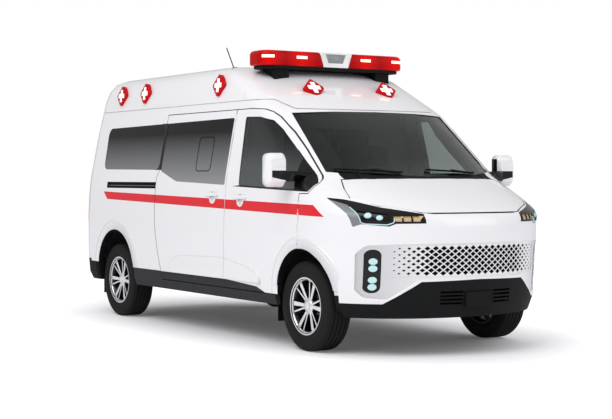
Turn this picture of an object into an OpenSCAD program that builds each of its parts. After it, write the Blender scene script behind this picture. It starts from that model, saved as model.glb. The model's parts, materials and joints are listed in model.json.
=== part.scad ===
// High-roof van ambulance: hollow body with hinged doors and bonnet, steered front wheels,
// roof light bar and cross lamps. +X is forward, +Y is the vehicle's left, +Z is up,
// and the origin is on the ground below the middle of the body's length.

/* [Overall] */
// Distance between the axles
wheelbase = 3366; // [3200:1:3500]
// Nose to front axle
front_overhang = 940; // [900:1:1000]
// Rear axle to tail
rear_overhang = 764; // [740:1:900]
// Half the body's greatest width
body_half_w = 1016; // [980:1:1050]
// Thickness of doors and body walls
wall = 50; // [40:1:60]
// Gap between a door and what it closes on
door_gap = 7; // [6:0.5:9]
// Clearance round a fixed piece in its seat
seat_gap = 0.3; // [0.2:0.1:0.5]

/* [Body] */
// Top of the floor
floor_z = 590; // [560:1:620]
// Thickness of the floor
floor_t = 40; // [30:1:60]
// Bottom edge of the side doors
door_sill_z = 418; // [412:1:450]
// Top edge of the side doors
door_head_z = 1893; // [1880:1:1900]
// Lower edge of the roof mouldings
gutter_z = 1966; // [1950:1:1980]
// Front edge of the front doors, behind the front axle
door_front = 28; // [22:1:34]
// Rear edge of the front doors, behind the front axle
door_back = 1176; // [1150:1:1190]
// Rear edge of the sliding door, behind the front axle
slider_back = 2443; // [2430:1:2460]
// Thickness of window glass
glass_t = 6; // [4:0.5:8]
// How deep the glass sits below the skin
glass_set = 3; // [2:0.5:6]
// Thickness of the front wings, fascia and cowl
panel_t = 25; // [20:1:30]
// Thickness of the bonnet
bonnet_t = 12; // [10:1:14]
// Gap round the bonnet
bonnet_gap = 10; // [9:1:12]

/* [Wheels] */
// Radius of the tyres
tyre_r = 346; // [335:1:350]
// Width of the tyres
tyre_w = 215; // [195:1:225]
// Radius of the rim's outer flange
rim_r = 222; // [210:1:228]
// Middle of the tyre from the centre line
half_track = 858; // [850:1:862]
// Steering pivot from the middle of the tyre
pivot_offset = 60; // [50:1:70]
// Radius of the front wheel arches
front_arch_r = 358; // [352:1:364]
// Radius of the rear wheel arches
rear_arch_r = 396; // [390:1:410]
// Radius of the liners that the front wheels turn in
liner_r = 430; // [420:1:440]

/* [Hinges] */
// Radius of the hinge pins
pin_r = 5; // [4:0.5:6]
// Gap between a pin and its sleeve
pin_gap = 0.3; // [0.2:0.1:0.5]
// Radius of the sleeves and ears
sleeve_r = 9; // [8:0.5:10]
// Height of a sleeve
sleeve_h = 50; // [45:1:55]
// Height of an ear above or below a sleeve
ear_h = 20; // [15:1:22]

/* [Roof lights] */
// Length of the light bar
bar_len = 1460; // [1400:10:1600]
// Depth of the light bar, front to back
bar_depth = 300; // [260:5:320]
// Height of the light bar's lenses
bar_h = 126; // [110:1:140]
// Size of a cross lamp from point to point
lamp_size = 210; // [190:1:230]

/* [Front] */
// Depth of the panel round the grille and the driving lamps below the nose
recess = 9; // [6:1:12]
// Distance between neighbouring grille holes of one row
lattice_pitch = 62; // [56:1:76]
// Distance between rows of grille holes
lattice_rise = 23; // [20:1:24]
// Width of the bars between the largest grille holes
lattice_strut = 6; // [4:0.5:9]

/* [Hidden] */
$fn = 48;
far = 3000;
length = front_overhang + wheelbase + rear_overhang;
nose_x = length / 2;
tail_x = -length / 2;
front_axle_x = nose_x - front_overhang;
rear_axle_x = front_axle_x - wheelbase;
axle_z = tyre_r;
door_front_x = front_axle_x - door_front;
door_back_x = front_axle_x - door_back;
door_rake = 9;
slider_front_x = door_back_x - door_gap;
slider_back_x = front_axle_x - slider_back;
front_arch = [front_axle_x + 30, 432, front_arch_r];
rear_arch = [rear_axle_x + 40, 438, rear_arch_r];
front_liner = [front_axle_x, 395, liner_r];
rear_liner = [rear_arch[0], rear_arch[1], rear_arch_r + 34];
liner_t = 12;
liner_foot_z = 350;
pivot_y = half_track - pivot_offset;
bore_r = pin_r + pin_gap;
notch_r = sleeve_r + 5;
hinge_x = door_front_x + door_gap / 2;
hinge_y = body_half_w - 4;
hinge_z = [905, 1015];
sail_swing_r = 354;
tail_door_y = body_half_w - 150;
tail_door_foot_z = 540;
tail_hinge_x = tail_x + 59;
tail_hinge_y = tail_door_y + door_gap / 2;
tail_hinge_z = [660, 1050];
tail_swing_r = 82;
bonnet_hinge_x = front_axle_x + 178;
bonnet_hinge_y = body_half_w - 416;
bonnet_hinge_z = 1310;
bonnet_front_z = 1062;
roof_split_x = front_axle_x - 1100;
fascia_top_x = front_axle_x + 600;
fascia_foot_x = front_axle_x + 420;
roof_z = 2300;
pillar_z = 1240;
glass_lap = 14;
glass_low = 1200;
glass_high = 1900;
door_lip = 12;
post_gap = 8;
post_t = 42;
post_w = 110;
sill_foot_z = 330;
sill_top_z = door_sill_z - door_gap;
cladding_z = 490;
flare_h = 5;
flare_w = 60;
flare_gap = 12;
relief_h = 8;
relief_top_z = 668;
cup_r = 46;
cup_depth = 14;
grip_h = 16;
grip_size = [210, 30];
bar_x = front_axle_x - 1168;
bar_z = roof_z - 54;
tray_h = 26;
lens_z = bar_z + tray_h + seat_gap;
lamp_t = 36;
lamp_foot = 170;
cross_h = 4;
brow_tilt = 40;
side_tilt = 8;
seat_y = body_half_w - 586;
rail_y = 430;
hub_r = 62;
spoke_pairs = 6;
spoke_split = 20;
spoke_turn = 7;
liner_y = 520;
rear_liner_y = 600;
spindle_r = 28;
king_r = 14;
plate_pitch = 210;
plate_hole_r = 4;

// Horizontal sections of the outer body, from the sill to the crown of the roof.
// Columns: height, set-back of the nose, half width less than the greatest,
// length and power of the rounded front end, set-in of the tail.
SECTION_Z = 0;
SECTION_NOSE = 1;
SECTION_WAIST = 2;
SECTION_BOW = 3;
SECTION_POWER = 4;
SECTION_TAIL = 5;
body_sections = [
    [ 290,   75,  50, 800, 2.15,  60],
    [ 400,   33,  14, 845, 2.15,   8],
    [ 560,   16,   3, 865, 2.15,   0],
    [ 680,    6,   1, 872, 2.15,   0],
    [ 820,    0,   0, 872, 2.15,   0],
    [ 960,    0,   2, 860, 2.15,   0],
    [1020,    8,   5, 840, 2.20,   0],
    [1062,   40,   7, 812, 2.25,   0],
    [1100,  110,   9, 786, 2.30,   0],
    [1150,  215,  12, 752, 2.35,   0],
    [1200,  335,  16, 712, 2.40,   0],
    [1250,  460,  20, 672, 2.47,   2],
    [1300,  590,  26, 628, 2.55,   4],
    [1345,  700,  32, 570, 2.60,   6],
    [1500,  900,  59, 510, 2.60,  12],
    [1680, 1130,  92, 460, 2.60,  22],
    [1860, 1360, 126, 420, 2.60,  40],
    [1955, 1545, 146, 400, 2.60,  52],
    [2080, 1800, 168, 390, 2.60,  75],
    [2180, 1990, 198, 380, 2.60, 110],
    [2250, 2170, 250, 370, 2.60, 160],
    [2285, 2350, 335, 360, 2.50, 230],
    [roof_z, 2520, 470, 340, 2.40, 330]
];
tail_bow = 210;
tail_power = 3;
bow_steps = 12;
tail_steps = 7;

// X of a place measured forward of the front axle, and of one measured forward of the tail
function fx(x) = front_axle_x + x;
function tx(x) = tail_x + x;

// Y of a place measured in from the side line
function iy(y) = body_half_w - y;

// One quadrant of a superellipse, from the side line to the centre line
function bow_point(t, len, half, power) =
    [len * pow(sin(t), 2 / power), half * pow(cos(t), 2 / power)];

// Right half of one section, from the tail's centre round the side to the nose
function half_ring(row, inset) =
    let (
        half = body_half_w - row[SECTION_WAIST] - inset,
        front = nose_x - row[SECTION_NOSE] - inset - row[SECTION_BOW],
        back = tail_x + row[SECTION_TAIL] + inset + tail_bow,
        z = row[SECTION_Z] - inset
    )
    concat(
        [for (i = [tail_steps:-1:0])
            let (p = bow_point(90 * i / tail_steps, tail_bow, half, tail_power))
            [back - p[0], -p[1], z]],
        [for (i = [0:bow_steps])
            let (p = bow_point(90 * i / bow_steps, row[SECTION_BOW], half, row[SECTION_POWER]))
            [front + p[0], -p[1], z]]
    );

function full_ring(row, inset) =
    let (half = half_ring(row, inset), n = len(half))
    concat(half, [for (i = [n - 2:-1:1]) [half[i][0], -half[i][1], half[i][2]]]);

// Sections that enclose the heights from low to high
function sections_between(low, high) =
    let (last = len(body_sections) - 1)
    [for (i = [0:last])
        if ((i == last || body_sections[i + 1][SECTION_Z] > low)
            && (i == 0 || body_sections[i - 1][SECTION_Z] < high))
        body_sections[i]];

// Outer body drawn in by an inset on every side and at the top, true between two heights
module skin(inset, low = 0, high = far) {
    rings = [for (row = sections_between(low, high + inset)) full_ring(row, inset)];
    n = len(rings[0]);
    m = len(rings);
    polyhedron(
        points = [for (r = rings) each r],
        faces = concat(
            [[for (i = [0:n - 1]) i]],
            [for (k = [0:m - 2], i = [0:n - 1], half = [0, 1])
                let (a = k * n + i, b = k * n + (i + 1) % n)
                half == 0 ? [a, b + n, b] : [a, a + n, b + n]],
            [[for (i = [n - 1:-1:0]) (m - 1) * n + i]]
        )
    );
}

// Layer of the body between two depths below the skin
module layer(outer, inner, low = 0, high = far) {
    difference() {
        skin(outer, low, high);
        skin(inner, low, high);
    }
}

// Prism through one side of the body, drawn as seen from the side (x, z)
module side_prism(side, y_in = 0, y_out = far) {
    translate([0, side > 0 ? y_out : -y_in, 0])
        rotate([90, 0, 0]) linear_extrude(y_out - y_in) children();
}

// Prism along the body, drawn as seen from the front (y, z)
module long_prism(x_from, x_to) {
    translate([x_from, 0, 0])
        rotate([90, 0, 90]) linear_extrude(x_to - x_from) children();
}

// Prism through the whole width, drawn as seen from the side (x, z)
module cross_prism() {
    rotate([90, 0, 0]) linear_extrude(2 * far, center = true) children();
}

// Upright prism, drawn in plan (x, y)
module plan_prism(z_from, z_to) {
    translate([0, 0, z_from]) linear_extrude(z_to - z_from) children();
}

module rounded(r) {
    offset(r = r) offset(delta = -r) children();
}

// Outline and its mirror image across the first or the second axis of the drawing
module both_halves(axis) {
    children();
    mirror(axis) children();
}

module box(x, y, z) {
    translate([x[0], y[0], z[0]]) cube([x[1] - x[0], y[1] - y[0], z[1] - z[0]]);
}

/* Outlines seen from the side */

// Round top on straight sides, from [x, z, radius]
module arch_outline(arch, grow = 0) {
    r = arch[2] + grow;
    translate([arch[0], arch[1]]) circle(r);
    translate([arch[0] - r, 0]) square([2 * r, arch[1]]);
}

module front_door_outline(grow = 0) {
    offset(delta = grow)
        difference() {
            polygon([
                [door_front_x, door_sill_z], [door_front_x, 1212], [fx(74), 1212], [fx(98), 1288],
                [fx(80), 1318], [fx(-190), 1540], [fx(-381), 1687], [fx(-570), 1815], [fx(-652), 1857],
                [fx(-745), 1882], [fx(-930), door_head_z], [door_back_x + door_rake, door_head_z],
                [door_back_x, 1345], [door_back_x, door_sill_z]
            ]);
            arch_outline(front_arch, 4);
        }
}

module front_glass_outline(grow = 0) {
    offset(delta = grow)
        rounded(18)
            polygon([
                [door_back_x + 211, 1270], [fx(-100), 1238], [fx(-165), 1482], [fx(-237), 1540],
                [fx(-475), 1717], [fx(-600), 1790], [fx(-780), 1824], [door_back_x + 168, 1831]
            ]);
}

module slider_outline(grow = 0) {
    offset(delta = grow)
        polygon([
            [slider_front_x, door_sill_z], [slider_front_x, door_head_z], [slider_back_x, door_head_z],
            [slider_back_x, 1395], [slider_back_x - 45, 1330], [slider_back_x - 49, 1142],
            [slider_back_x - 29, 888], [slider_back_x + 13, 699], [slider_back_x + 110, door_sill_z]
        ]);
}

module slider_glass_outline(grow = 0) {
    offset(delta = grow)
        rounded(20)
            polygon([
                [slider_front_x - 22, 1269], [slider_front_x - 17, 1829], [slider_back_x + 18, 1818],
                [slider_back_x + 18, 1388], [slider_back_x + 343, 1296]
            ]);
}

module rear_quarter_glass_outline(grow = 0) {
    offset(delta = grow)
        rounded(70)
            polygon([
                [slider_back_x - 27, 1400], [slider_back_x - 27, 1818], [tx(440), 1806], [tx(462), 1410]
            ]);
}

// What the shut front door and its rear lip take out of the body side
module front_door_shut_outline() {
    front_door_outline(door_gap);
    translate([slider_front_x, sill_top_z])
        square([door_gap + 30, door_head_z - door_sill_z + 2 * door_gap]);
}

// Black sill below the doors, higher where no door stands on it
module sill_outline(side) {
    wall_end = side < 0 ? slider_back_x + 120 : slider_front_x - seat_gap;
    difference() {
        union() {
            translate([rear_arch[0], sill_foot_z])
                square([fx(-375) - rear_arch[0], sill_top_z - sill_foot_z]);
            translate([rear_arch[0], sill_foot_z])
                square([wall_end - rear_arch[0], cladding_z - sill_foot_z]);
        }
        if (side < 0) slider_outline(door_gap);
        front_door_shut_outline();
        arch_outline(rear_arch);
        arch_outline(front_arch, 4);
    }
}

// Swage pressed into the foot of the doors
module relief_outline() {
    polygon([
        [slider_back_x + 110, cladding_z], [slider_back_x + 190, 635], [slider_back_x + 290, relief_top_z],
        [fx(-820), relief_top_z], [fx(-690), 630], [fx(-610), 550], [fx(-585), cladding_z]
    ]);
}

// Cab and roof meet along this line
module roof_outline() {
    polygon([
        [tail_x - 100, gutter_z], [fx(-790), gutter_z], [fx(-580), 1884], [fx(-480), 1880],
        [nose_x, 1880], [nose_x, far], [tail_x - 100, far]
    ]);
}

module fascia_outline() {
    polygon([
        [fascia_foot_x, 0], [fascia_foot_x, 560], [fascia_top_x, 990],
        [fascia_top_x, bonnet_front_z], [nose_x + 100, bonnet_front_z], [nose_x + 100, 0]
    ]);
}

/* Outlines seen from the front */

module windscreen_outline(grow = 0) {
    offset(delta = grow)
        both_halves([1, 0])
            polygon([
                [-1, 1340], [iy(416), 1353], [iy(221), 1374], [iy(271), 1850], [iy(616), 1864], [-1, 1868]
            ]);
}

module tail_door_outline(grow = 0) {
    offset(delta = grow)
        polygon([
            [5, tail_door_foot_z], [tail_door_y, tail_door_foot_z], [tail_door_y, 1100],
            [tail_door_y - 131, 1965], [5, 1965]
        ]);
}

module tail_glass_outline(grow = 0) {
    offset(delta = grow)
        rounded(60)
            polygon([[90, 1330], [tail_door_y - 146, 1330], [tail_door_y - 206, 1800], [90, 1800]]);
}

module headlamp_outline(grow = 0) {
    offset(delta = grow)
        polygon([
            [iy(565), 994], [iy(561), 1064], [iy(316), 1110], [iy(156), 1168], [iy(-24), 1200],
            [iy(-24), 1140], [iy(136), 968], [iy(172), 988], [iy(322), 972], [iy(364), 992]
        ]);
}

// Pockets in the headlamp: the projector, then the cells of the indicator
module headlamp_pockets_outline() {
    polygon([[iy(190), 1000], [iy(165), 1085], [iy(328), 1062], [iy(352), 1006], [iy(316), 990]]);
    for (i = [0:2])
        translate([iy(400) - 62 * i, 1008]) square([50, 38]);
}

module grille_outline(grow = 0) {
    offset(delta = grow)
        rounded(30) polygon([[-iy(326), 600], [iy(326), 600], [iy(330), 836], [-iy(330), 836]]);
}

// Staggered diamond holes that shrink towards both ends
module lattice_outline() {
    reach = iy(346);
    columns = floor(reach / lattice_pitch);
    cell = lattice_pitch * lattice_rise / norm([lattice_pitch / 2, lattice_rise]);
    for (row = [0:8], col = [-columns - 1:columns]) {
        y = (col + (row % 2) / 2) * lattice_pitch;
        share = (1 - lattice_strut / cell) * min(1, 0.3 + 1.75 * (1 - abs(y) / reach));
        if (abs(y) < reach)
            translate([y, 626 + row * lattice_rise])
                scale(share)
                    polygon([[-lattice_pitch / 2, 0], [0, -lattice_rise], [lattice_pitch / 2, 0], [0, lattice_rise]]);
    }
}

// Panel sunk into the nose round the grille and the driving lamps
module nose_recess_outline() {
    rounded(45)
        both_halves([1, 0])
            polygon([
                [-1, 846], [iy(376), 842], [iy(196), 832], [iy(146), 770], [iy(150), 500],
                [iy(196), 446], [iy(330), 436], [iy(541), 590], [-1, 590]
            ]);
}

module driving_lamp_outline(grow = 0) {
    offset(delta = grow)
        rounded(44)
            polygon([[iy(290), 480], [iy(194), 480], [iy(194), 802], [iy(290), 802]]);
}

module bumper_outline(grow = 0) {
    offset(delta = grow)
        both_halves([1, 0])
            polygon([[-1, 280], [-1, 574], [iy(541), 564], [iy(300), 400], [iy(-84), 400], [iy(-84), 280]]);
}

// Air slots each side of the plate
module bumper_slots_outline() {
    for (z = [392, 420, 448, 476])
        both_halves([1, 0]) translate([140, z]) rounded(5) square([iy(686) - 140, 15]);
}

module tail_lamp_outline(grow = 0) {
    offset(delta = grow)
        polygon([[tail_door_y + 22, 900], [1100, 900], [1100, 1440], [tail_door_y + 22, 1440]]);
}

/* Outlines in plan */

module bonnet_outline(grow = 0) {
    offset(delta = grow)
        both_halves([0, 1])
            polygon([
                [fx(300), -1], [fx(290), iy(716)], [fx(262), iy(516)], [fx(205), iy(326)],
                [fx(182), iy(276)], [fx(287), iy(230)], [fx(410), iy(199)], [fx(611), iy(316)],
                [fx(813), iy(561)], [fx(880), iy(716)], [fx(1040), iy(716)], [fx(1040), -1]
            ]);
}

/* Hinges: sleeves on the moving piece, ears and a pin on the fixed one */

module hinge_sleeve(h) {
    translate([0, 0, -h / 2])
        difference() {
            cylinder(r = sleeve_r, h = h);
            translate([0, 0, -1]) cylinder(r = bore_r, h = h + 2);
        }
}

module hinge_ears(h) {
    ear_gap = pin_gap + 0.2;
    translate([0, 0, h / 2 + ear_gap]) cylinder(r = sleeve_r, h = ear_h);
    translate([0, 0, -h / 2 - ear_gap - ear_h]) cylinder(r = sleeve_r, h = ear_h);
    translate([0, 0, -h / 2 - ear_gap - ear_h]) cylinder(r = pin_r, h = h + 2 * (ear_gap + ear_h));
}

module sleeve_notch(h) {
    cylinder(r = notch_r, h = h + 4, center = true);
}

module ear_notches(h) {
    for (s = [-1, 1])
        translate([0, 0, s * (h / 2 + ear_h / 2 + 2)])
            cylinder(r = notch_r, h = ear_h + 4, center = true);
}

module at_door_hinges(side) {
    for (z = hinge_z) translate([hinge_x, side * hinge_y, z]) children();
}

module at_tail_hinges(side) {
    for (z = tail_hinge_z) translate([tail_hinge_x, side * tail_hinge_y, z]) children();
}

/* Seats for glass: a ledge below the skin, and the opening through the wall */

module ledge() {
    difference() {
        children();
        skin(glass_set + glass_t + seat_gap, glass_low, glass_high);
    }
}

module windscreen_prism(grow) {
    long_prism(fx(-900), nose_x) windscreen_outline(grow);
}

module bonnet_prism(grow) {
    plan_prism(bonnet_front_z, 1500) bonnet_outline(grow);
}

module cowl_prism(grow) {
    plan_prism(1240, 1500)
        translate([fx(-60) - grow, -iy(296) - grow]) square([500, 2 * (iy(296) + grow)]);
}

module headlamp_prisms(grow) {
    long_prism(fx(250), nose_x + 10) both_halves([1, 0]) headlamp_outline(grow);
}

module tail_lamp_prism(grow) {
    long_prism(tail_x - 10, tail_x + 150 + grow) both_halves([1, 0]) tail_lamp_outline(grow);
}

module rear_bumper_prism(grow) {
    box([tail_x - 10, tail_x + 235 + grow], [-far, far], [330 - grow, tail_door_foot_z - door_gap + grow]);
}

/* Forms pressed into the side panels */

// Raised lip round a wheel arch, within an outline seen from the side
module arch_flare(side, arch) {
    intersection() {
        layer(-flare_h, 5, 300, 960);
        side_prism(side, 500)
            intersection() {
                difference() {
                    arch_outline(arch, flare_w);
                    arch_outline(arch);
                    square([2 * far, 2 * cladding_z], center = true);
                }
                children();
            }
    }
}

// Swage that leans out towards its foot, within an outline seen from the side
module door_relief(side) {
    intersection() {
        long_prism(tail_x, nose_x)
            mirror([side > 0 ? 0 : 1, 0])
                polygon([
                    [iy(30), cladding_z], [iy(-relief_h), cladding_z],
                    [iy(-1.5), relief_top_z], [iy(30), relief_top_z]
                ]);
        side_prism(side, 500)
            intersection() {
                relief_outline();
                children();
            }
    }
}

// Finger cup behind a door handle
module handle_cup(side, x, z) {
    difference() {
        side_prism(side, 500) translate([x, z - 24]) circle(cup_r);
        skin(cup_depth, 1000, 1300);
    }
}

// Grip across the cup
module handle_grip(side, x, z) {
    intersection() {
        layer(-grip_h, 4, 1000, 1300);
        side_prism(side, 500) translate([x, z]) rounded(14) square(grip_size, center = true);
    }
}

/* Body shell */

module floor_pan() {
    step_depth = wall + post_gap + post_t + seat_gap;
    door_zone = [slider_back_x - 60, fx(-445)];
    color("dimgray") {
        difference() {
            intersection() {
                skin(wall + seat_gap, 300, floor_z);
                box([tail_x, fx(62)], [-far, far], [floor_z - floor_t, floor_z]);
            }
            for (s = [-1, 1]) {
                side_prism(s, liner_y) arch_outline(front_liner);
                side_prism(s, rear_liner_y) arch_outline(rear_liner);
                translate([tail_hinge_x, s * tail_hinge_y, 0]) cylinder(r = tail_swing_r, h = floor_z + 1);
            }
            difference() {
                box([door_zone[0], fx(70)], [-far, far], [0, far]);
                skin(step_depth, 300, floor_z);
            }
        }
        // Step inside the side doors
        intersection() {
            difference() {
                skin(wall + seat_gap, 300, floor_z);
                skin(step_depth + 30, 300, floor_z);
            }
            box(door_zone, [-far, far], [sill_top_z - floor_t, sill_top_z]);
        }
        intersection() {
            layer(step_depth, step_depth + 30, 300, floor_z);
            box(door_zone, [-far, far], [sill_top_z - floor_t, floor_z - 1]);
        }
        // Bulkhead behind the engine
        difference() {
            box([fx(60), fx(84)], [-iy(216), iy(216)], [floor_z - floor_t, 1236]);
            for (s = [-1, 1])
                side_prism(s, liner_y) arch_outline(front_liner);
        }
    }
}

module side_frame_outline(side) {
    difference() {
        polygon([
            [tail_x - 10, sill_foot_z], [tail_x - 10, far], [nose_x, far], [nose_x, pillar_z],
            [fx(-400), pillar_z], [fx(-400), sill_foot_z]
        ]);
        offset(delta = seat_gap) roof_outline();
        offset(delta = seat_gap) sill_outline(side);
        front_door_shut_outline();
        translate([door_back_x, 0]) square([far, sill_top_z]);
        if (side < 0) slider_outline(door_gap);
        if (side > 0) slider_glass_outline(-glass_lap);
        rear_quarter_glass_outline(-glass_lap);
        arch_outline(rear_arch);
    }
}

module side_frame(side) {
    color("white") {
        difference() {
            union() {
                intersection() {
                    layer(0, wall, 0, gutter_z);
                    side_prism(side, 1) side_frame_outline(side);
                }
                arch_flare(side, rear_arch) side_frame_outline(side);
                if (side > 0) door_relief(side) side_frame_outline(side);
            }
            windscreen_prism(-glass_lap);
            bonnet_prism(bonnet_gap);
            cowl_prism(seat_gap);
            ledge() {
                windscreen_prism(seat_gap);
                side_prism(side) {
                    rear_quarter_glass_outline(seat_gap);
                    if (side > 0) slider_glass_outline(seat_gap);
                }
            }
            long_prism(tail_x - 10, tail_x + 260)
                mirror([side > 0 ? 0 : 1, 0]) tail_door_outline(door_gap);
            box([tail_x - 10, tail_x + 260], [131 - tail_door_y, tail_door_y - 131], [0, far]);
            rear_bumper_prism(seat_gap);
            difference() {
                tail_lamp_prism(seat_gap);
                skin(panel_t + seat_gap, 850, 1500);
            }
            at_tail_hinges(side) sleeve_notch(sleeve_h);
            // Slot of the sliding door's middle rail
            if (side < 0)
                difference() {
                    side_prism(side, 500)
                        translate([tx(578), 1230]) square([slider_back_x - tx(578), 58]);
                    skin(20, 1100, 1400);
                }
        }
        at_tail_hinges(side) hinge_ears(sleeve_h);
    }
}

module side_frame_right() side_frame(-1);
module side_frame_left() side_frame(1);

module sills() {
    color("#222222")
        for (s = [-1, 1])
            intersection() {
                layer(0, wall, 0, 560);
                side_prism(s, 1) sill_outline(s);
            }
}

// Inner posts behind the meeting edges of the front and the side doors
module door_posts() {
    color("white")
        intersection() {
            difference() {
                skin(wall + seat_gap, 300, gutter_z);
                skin(wall + post_gap + post_t, 300, gutter_z);
                difference() {
                    cross_prism()
                        translate([slider_front_x - post_w, 0])
                            square([2 * post_w, door_head_z + door_gap]);
                    skin(wall + post_gap, 300, gutter_z);
                }
            }
            cross_prism()
                translate([slider_front_x - post_w / 2, door_sill_z - door_gap + seat_gap])
                    square([post_w, gutter_z - door_sill_z + door_gap - 1]);
        }
}

// Groove along the foot of the roof mouldings
module gutter_groove() {
    difference() {
        cross_prism()
            difference() {
                roof_outline();
                translate([0, 7]) roof_outline();
            }
        skin(6, 1850, 2050);
    }
}

module roof_panel() {
    color("white")
        difference() {
            intersection() {
                layer(0, wall, gutter_z);
                cross_prism()
                    intersection() {
                        roof_outline();
                        translate([tail_x - 50, 0]) square([roof_split_x - tail_x + 50 - seat_gap, far]);
                    }
            }
            gutter_groove();
        }
}

module roof_cap() {
    color("white")
        difference() {
            intersection() {
                layer(0, wall, 1880);
                cross_prism()
                    intersection() {
                        roof_outline();
                        translate([roof_split_x, 0]) square([far, far]);
                    }
            }
            gutter_groove();
            // Joint line across the roof
            difference() {
                box([roof_split_x - 1, roof_split_x + 5], [-far, far], [1800, far]);
                skin(5, 1850);
            }
        }
}

module front_wing_outline() {
    difference() {
        translate([door_front_x + door_gap, sill_foot_z])
            square([900, pillar_z - sill_foot_z - seat_gap]);
        front_door_outline(door_gap);
        offset(delta = seat_gap) fascia_outline();
        arch_outline(front_arch);
    }
}

module front_wing(side) {
    color("white") {
        difference() {
            union() {
                intersection() {
                    layer(0, panel_t, 300, 1300);
                    side_prism(side, 1) front_wing_outline();
                }
                arch_flare(side, front_arch)
                    difference() {
                        front_wing_outline();
                        square([hinge_x + flare_gap, far]);
                    }
            }
            bonnet_prism(bonnet_gap);
            headlamp_prisms(seat_gap);
            at_door_hinges(side) sleeve_notch(sleeve_h);
        }
        at_door_hinges(side) hinge_ears(sleeve_h);
    }
}

module front_wing_right() front_wing(-1);
module front_wing_left() front_wing(1);

module front_fascia() {
    color("white")
        difference() {
            intersection() {
                layer(0, panel_t, 300, 1100);
                cross_prism()
                    difference() {
                        fascia_outline();
                        arch_outline(front_arch);
                        square([far, sill_foot_z]);
                    }
            }
            difference() {
                long_prism(fx(300), nose_x + 10) nose_recess_outline();
                skin(recess, 350, 950);
            }
            long_prism(fx(300), nose_x + 10) {
                bumper_outline(seat_gap);
                grille_outline();
                both_halves([1, 0]) driving_lamp_outline();
            }
            headlamp_prisms(seat_gap);
            bonnet_prism(bonnet_gap);
        }
}

module front_bumper() {
    color("#222222")
        intersection() {
            layer(0, panel_t, 0, 600);
            cross_prism()
                difference() {
                    fascia_outline();
                    arch_outline(front_arch);
                }
            long_prism(fx(300), nose_x + 10)
                difference() {
                    bumper_outline();
                    bumper_slots_outline();
                }
        }
}

module grille() {
    color("white")
        intersection() {
            layer(recess + 2, recess + 10, 560, 860);
            long_prism(fx(300), nose_x + 10)
                difference() {
                    grille_outline(-seat_gap);
                    lattice_outline();
                }
        }
}

module driving_lamps() {
    color("#333333") {
        intersection() {
            layer(recess + 4, panel_t + 10, 450, 850);
            long_prism(fx(300), nose_x + 10) both_halves([1, 0]) driving_lamp_outline(-seat_gap);
        }
        // Lenses, two above two
        intersection() {
            layer(recess - 2, recess + 5, 450, 850);
            long_prism(fx(300), nose_x + 10)
                both_halves([1, 0])
                    for (z = [525, 577, 662, 714]) translate([iy(242), z]) circle(24);
        }
    }
}

module headlamps() {
    color("lightgray")
        difference() {
            intersection() {
                layer(0, panel_t, 950, 1250);
                headlamp_prisms(0);
            }
            difference() {
                long_prism(fx(250), nose_x + 10) both_halves([1, 0]) headlamp_pockets_outline();
                skin(7, 900, 1200);
            }
        }
}

module cowl() {
    color("#222222") {
        difference() {
            intersection() {
                layer(0, panel_t, 1240, 1500);
                cowl_prism(0);
            }
            windscreen_prism(-glass_lap);
            ledge() windscreen_prism(seat_gap);
            bonnet_prism(bonnet_gap);
            for (s = [-1, 1])
                box([bonnet_hinge_x - 22, bonnet_hinge_x + 100],
                    [s * bonnet_hinge_y - 12, s * bonnet_hinge_y + 12], [1200, 1400]);
        }
        for (s = [-1, 1])
            translate([bonnet_hinge_x, s * bonnet_hinge_y, bonnet_hinge_z]) {
                for (t = [-1, 1])
                    translate([0, t * 18, 0]) {
                        rotate([90, 0, 0]) cylinder(r = sleeve_r, h = 11, center = true);
                        translate([-sleeve_r, -5.5, 0]) cube([2 * sleeve_r, 11, 20]);
                    }
                rotate([90, 0, 0]) cylinder(r = pin_r, h = 47, center = true);
            }
    }
}

module windscreen() {
    color("#223038")
        intersection() {
            layer(glass_set, glass_set + glass_t, glass_low, glass_high);
            windscreen_prism(0);
        }
}

module sliding_door() {
    color("white") {
        difference() {
            union() {
                intersection() {
                    layer(0, wall, door_sill_z, door_head_z);
                    side_prism(-1) slider_outline();
                }
                door_relief(-1) slider_outline();
            }
            side_prism(-1) slider_glass_outline(-glass_lap);
            ledge() side_prism(-1) slider_glass_outline(seat_gap);
            handle_cup(-1, fx(-1400), 1190);
        }
        handle_grip(-1, fx(-1400), 1190);
        // Guides that carry it in the sill and the roof rail
        for (x = [slider_front_x - 160, slider_back_x + 300]) {
            box([x - 30, x + 30], [-iy(31), -iy(41)], [sill_top_z, door_sill_z + 10]);
            box([x - 30, x + 30], [-iy(164), -iy(170)], [door_head_z - 10, door_head_z + door_gap]);
        }
    }
}

module side_glass() {
    color("#223038")
        intersection() {
            layer(glass_set, glass_set + glass_t, glass_low, glass_high);
            cross_prism() {
                rear_quarter_glass_outline();
                slider_glass_outline();
            }
        }
}

module rear_bumper() {
    color("#222222")
        difference() {
            intersection() {
                layer(0, wall, 300, 600);
                rear_bumper_prism(0);
            }
            cross_prism() arch_outline(rear_arch);
        }
}

module tail_lamps() {
    color("firebrick")
        intersection() {
            layer(0, panel_t, 850, 1500);
            tail_lamp_prism(0);
        }
}

/* Doors and bonnet */

module bonnet() {
    color("white") {
        difference() {
            intersection() {
                layer(0, bonnet_t, 1000, 1400);
                plan_prism(bonnet_front_z + bonnet_gap, 1500) bonnet_outline();
            }
            headlamp_prisms(bonnet_gap);
        }
        for (s = [-1, 1])
            translate([bonnet_hinge_x, s * bonnet_hinge_y, bonnet_hinge_z])
                rotate([90, 0, 0])
                    linear_extrude(12, center = true)
                        difference() {
                            union() {
                                circle(sleeve_r + 3);
                                polygon([[0, -12], [150, -70], [150, -52], [84, -22], [55, -10], [0, 12]]);
                            }
                            circle(bore_r);
                        }
    }
}

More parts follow.
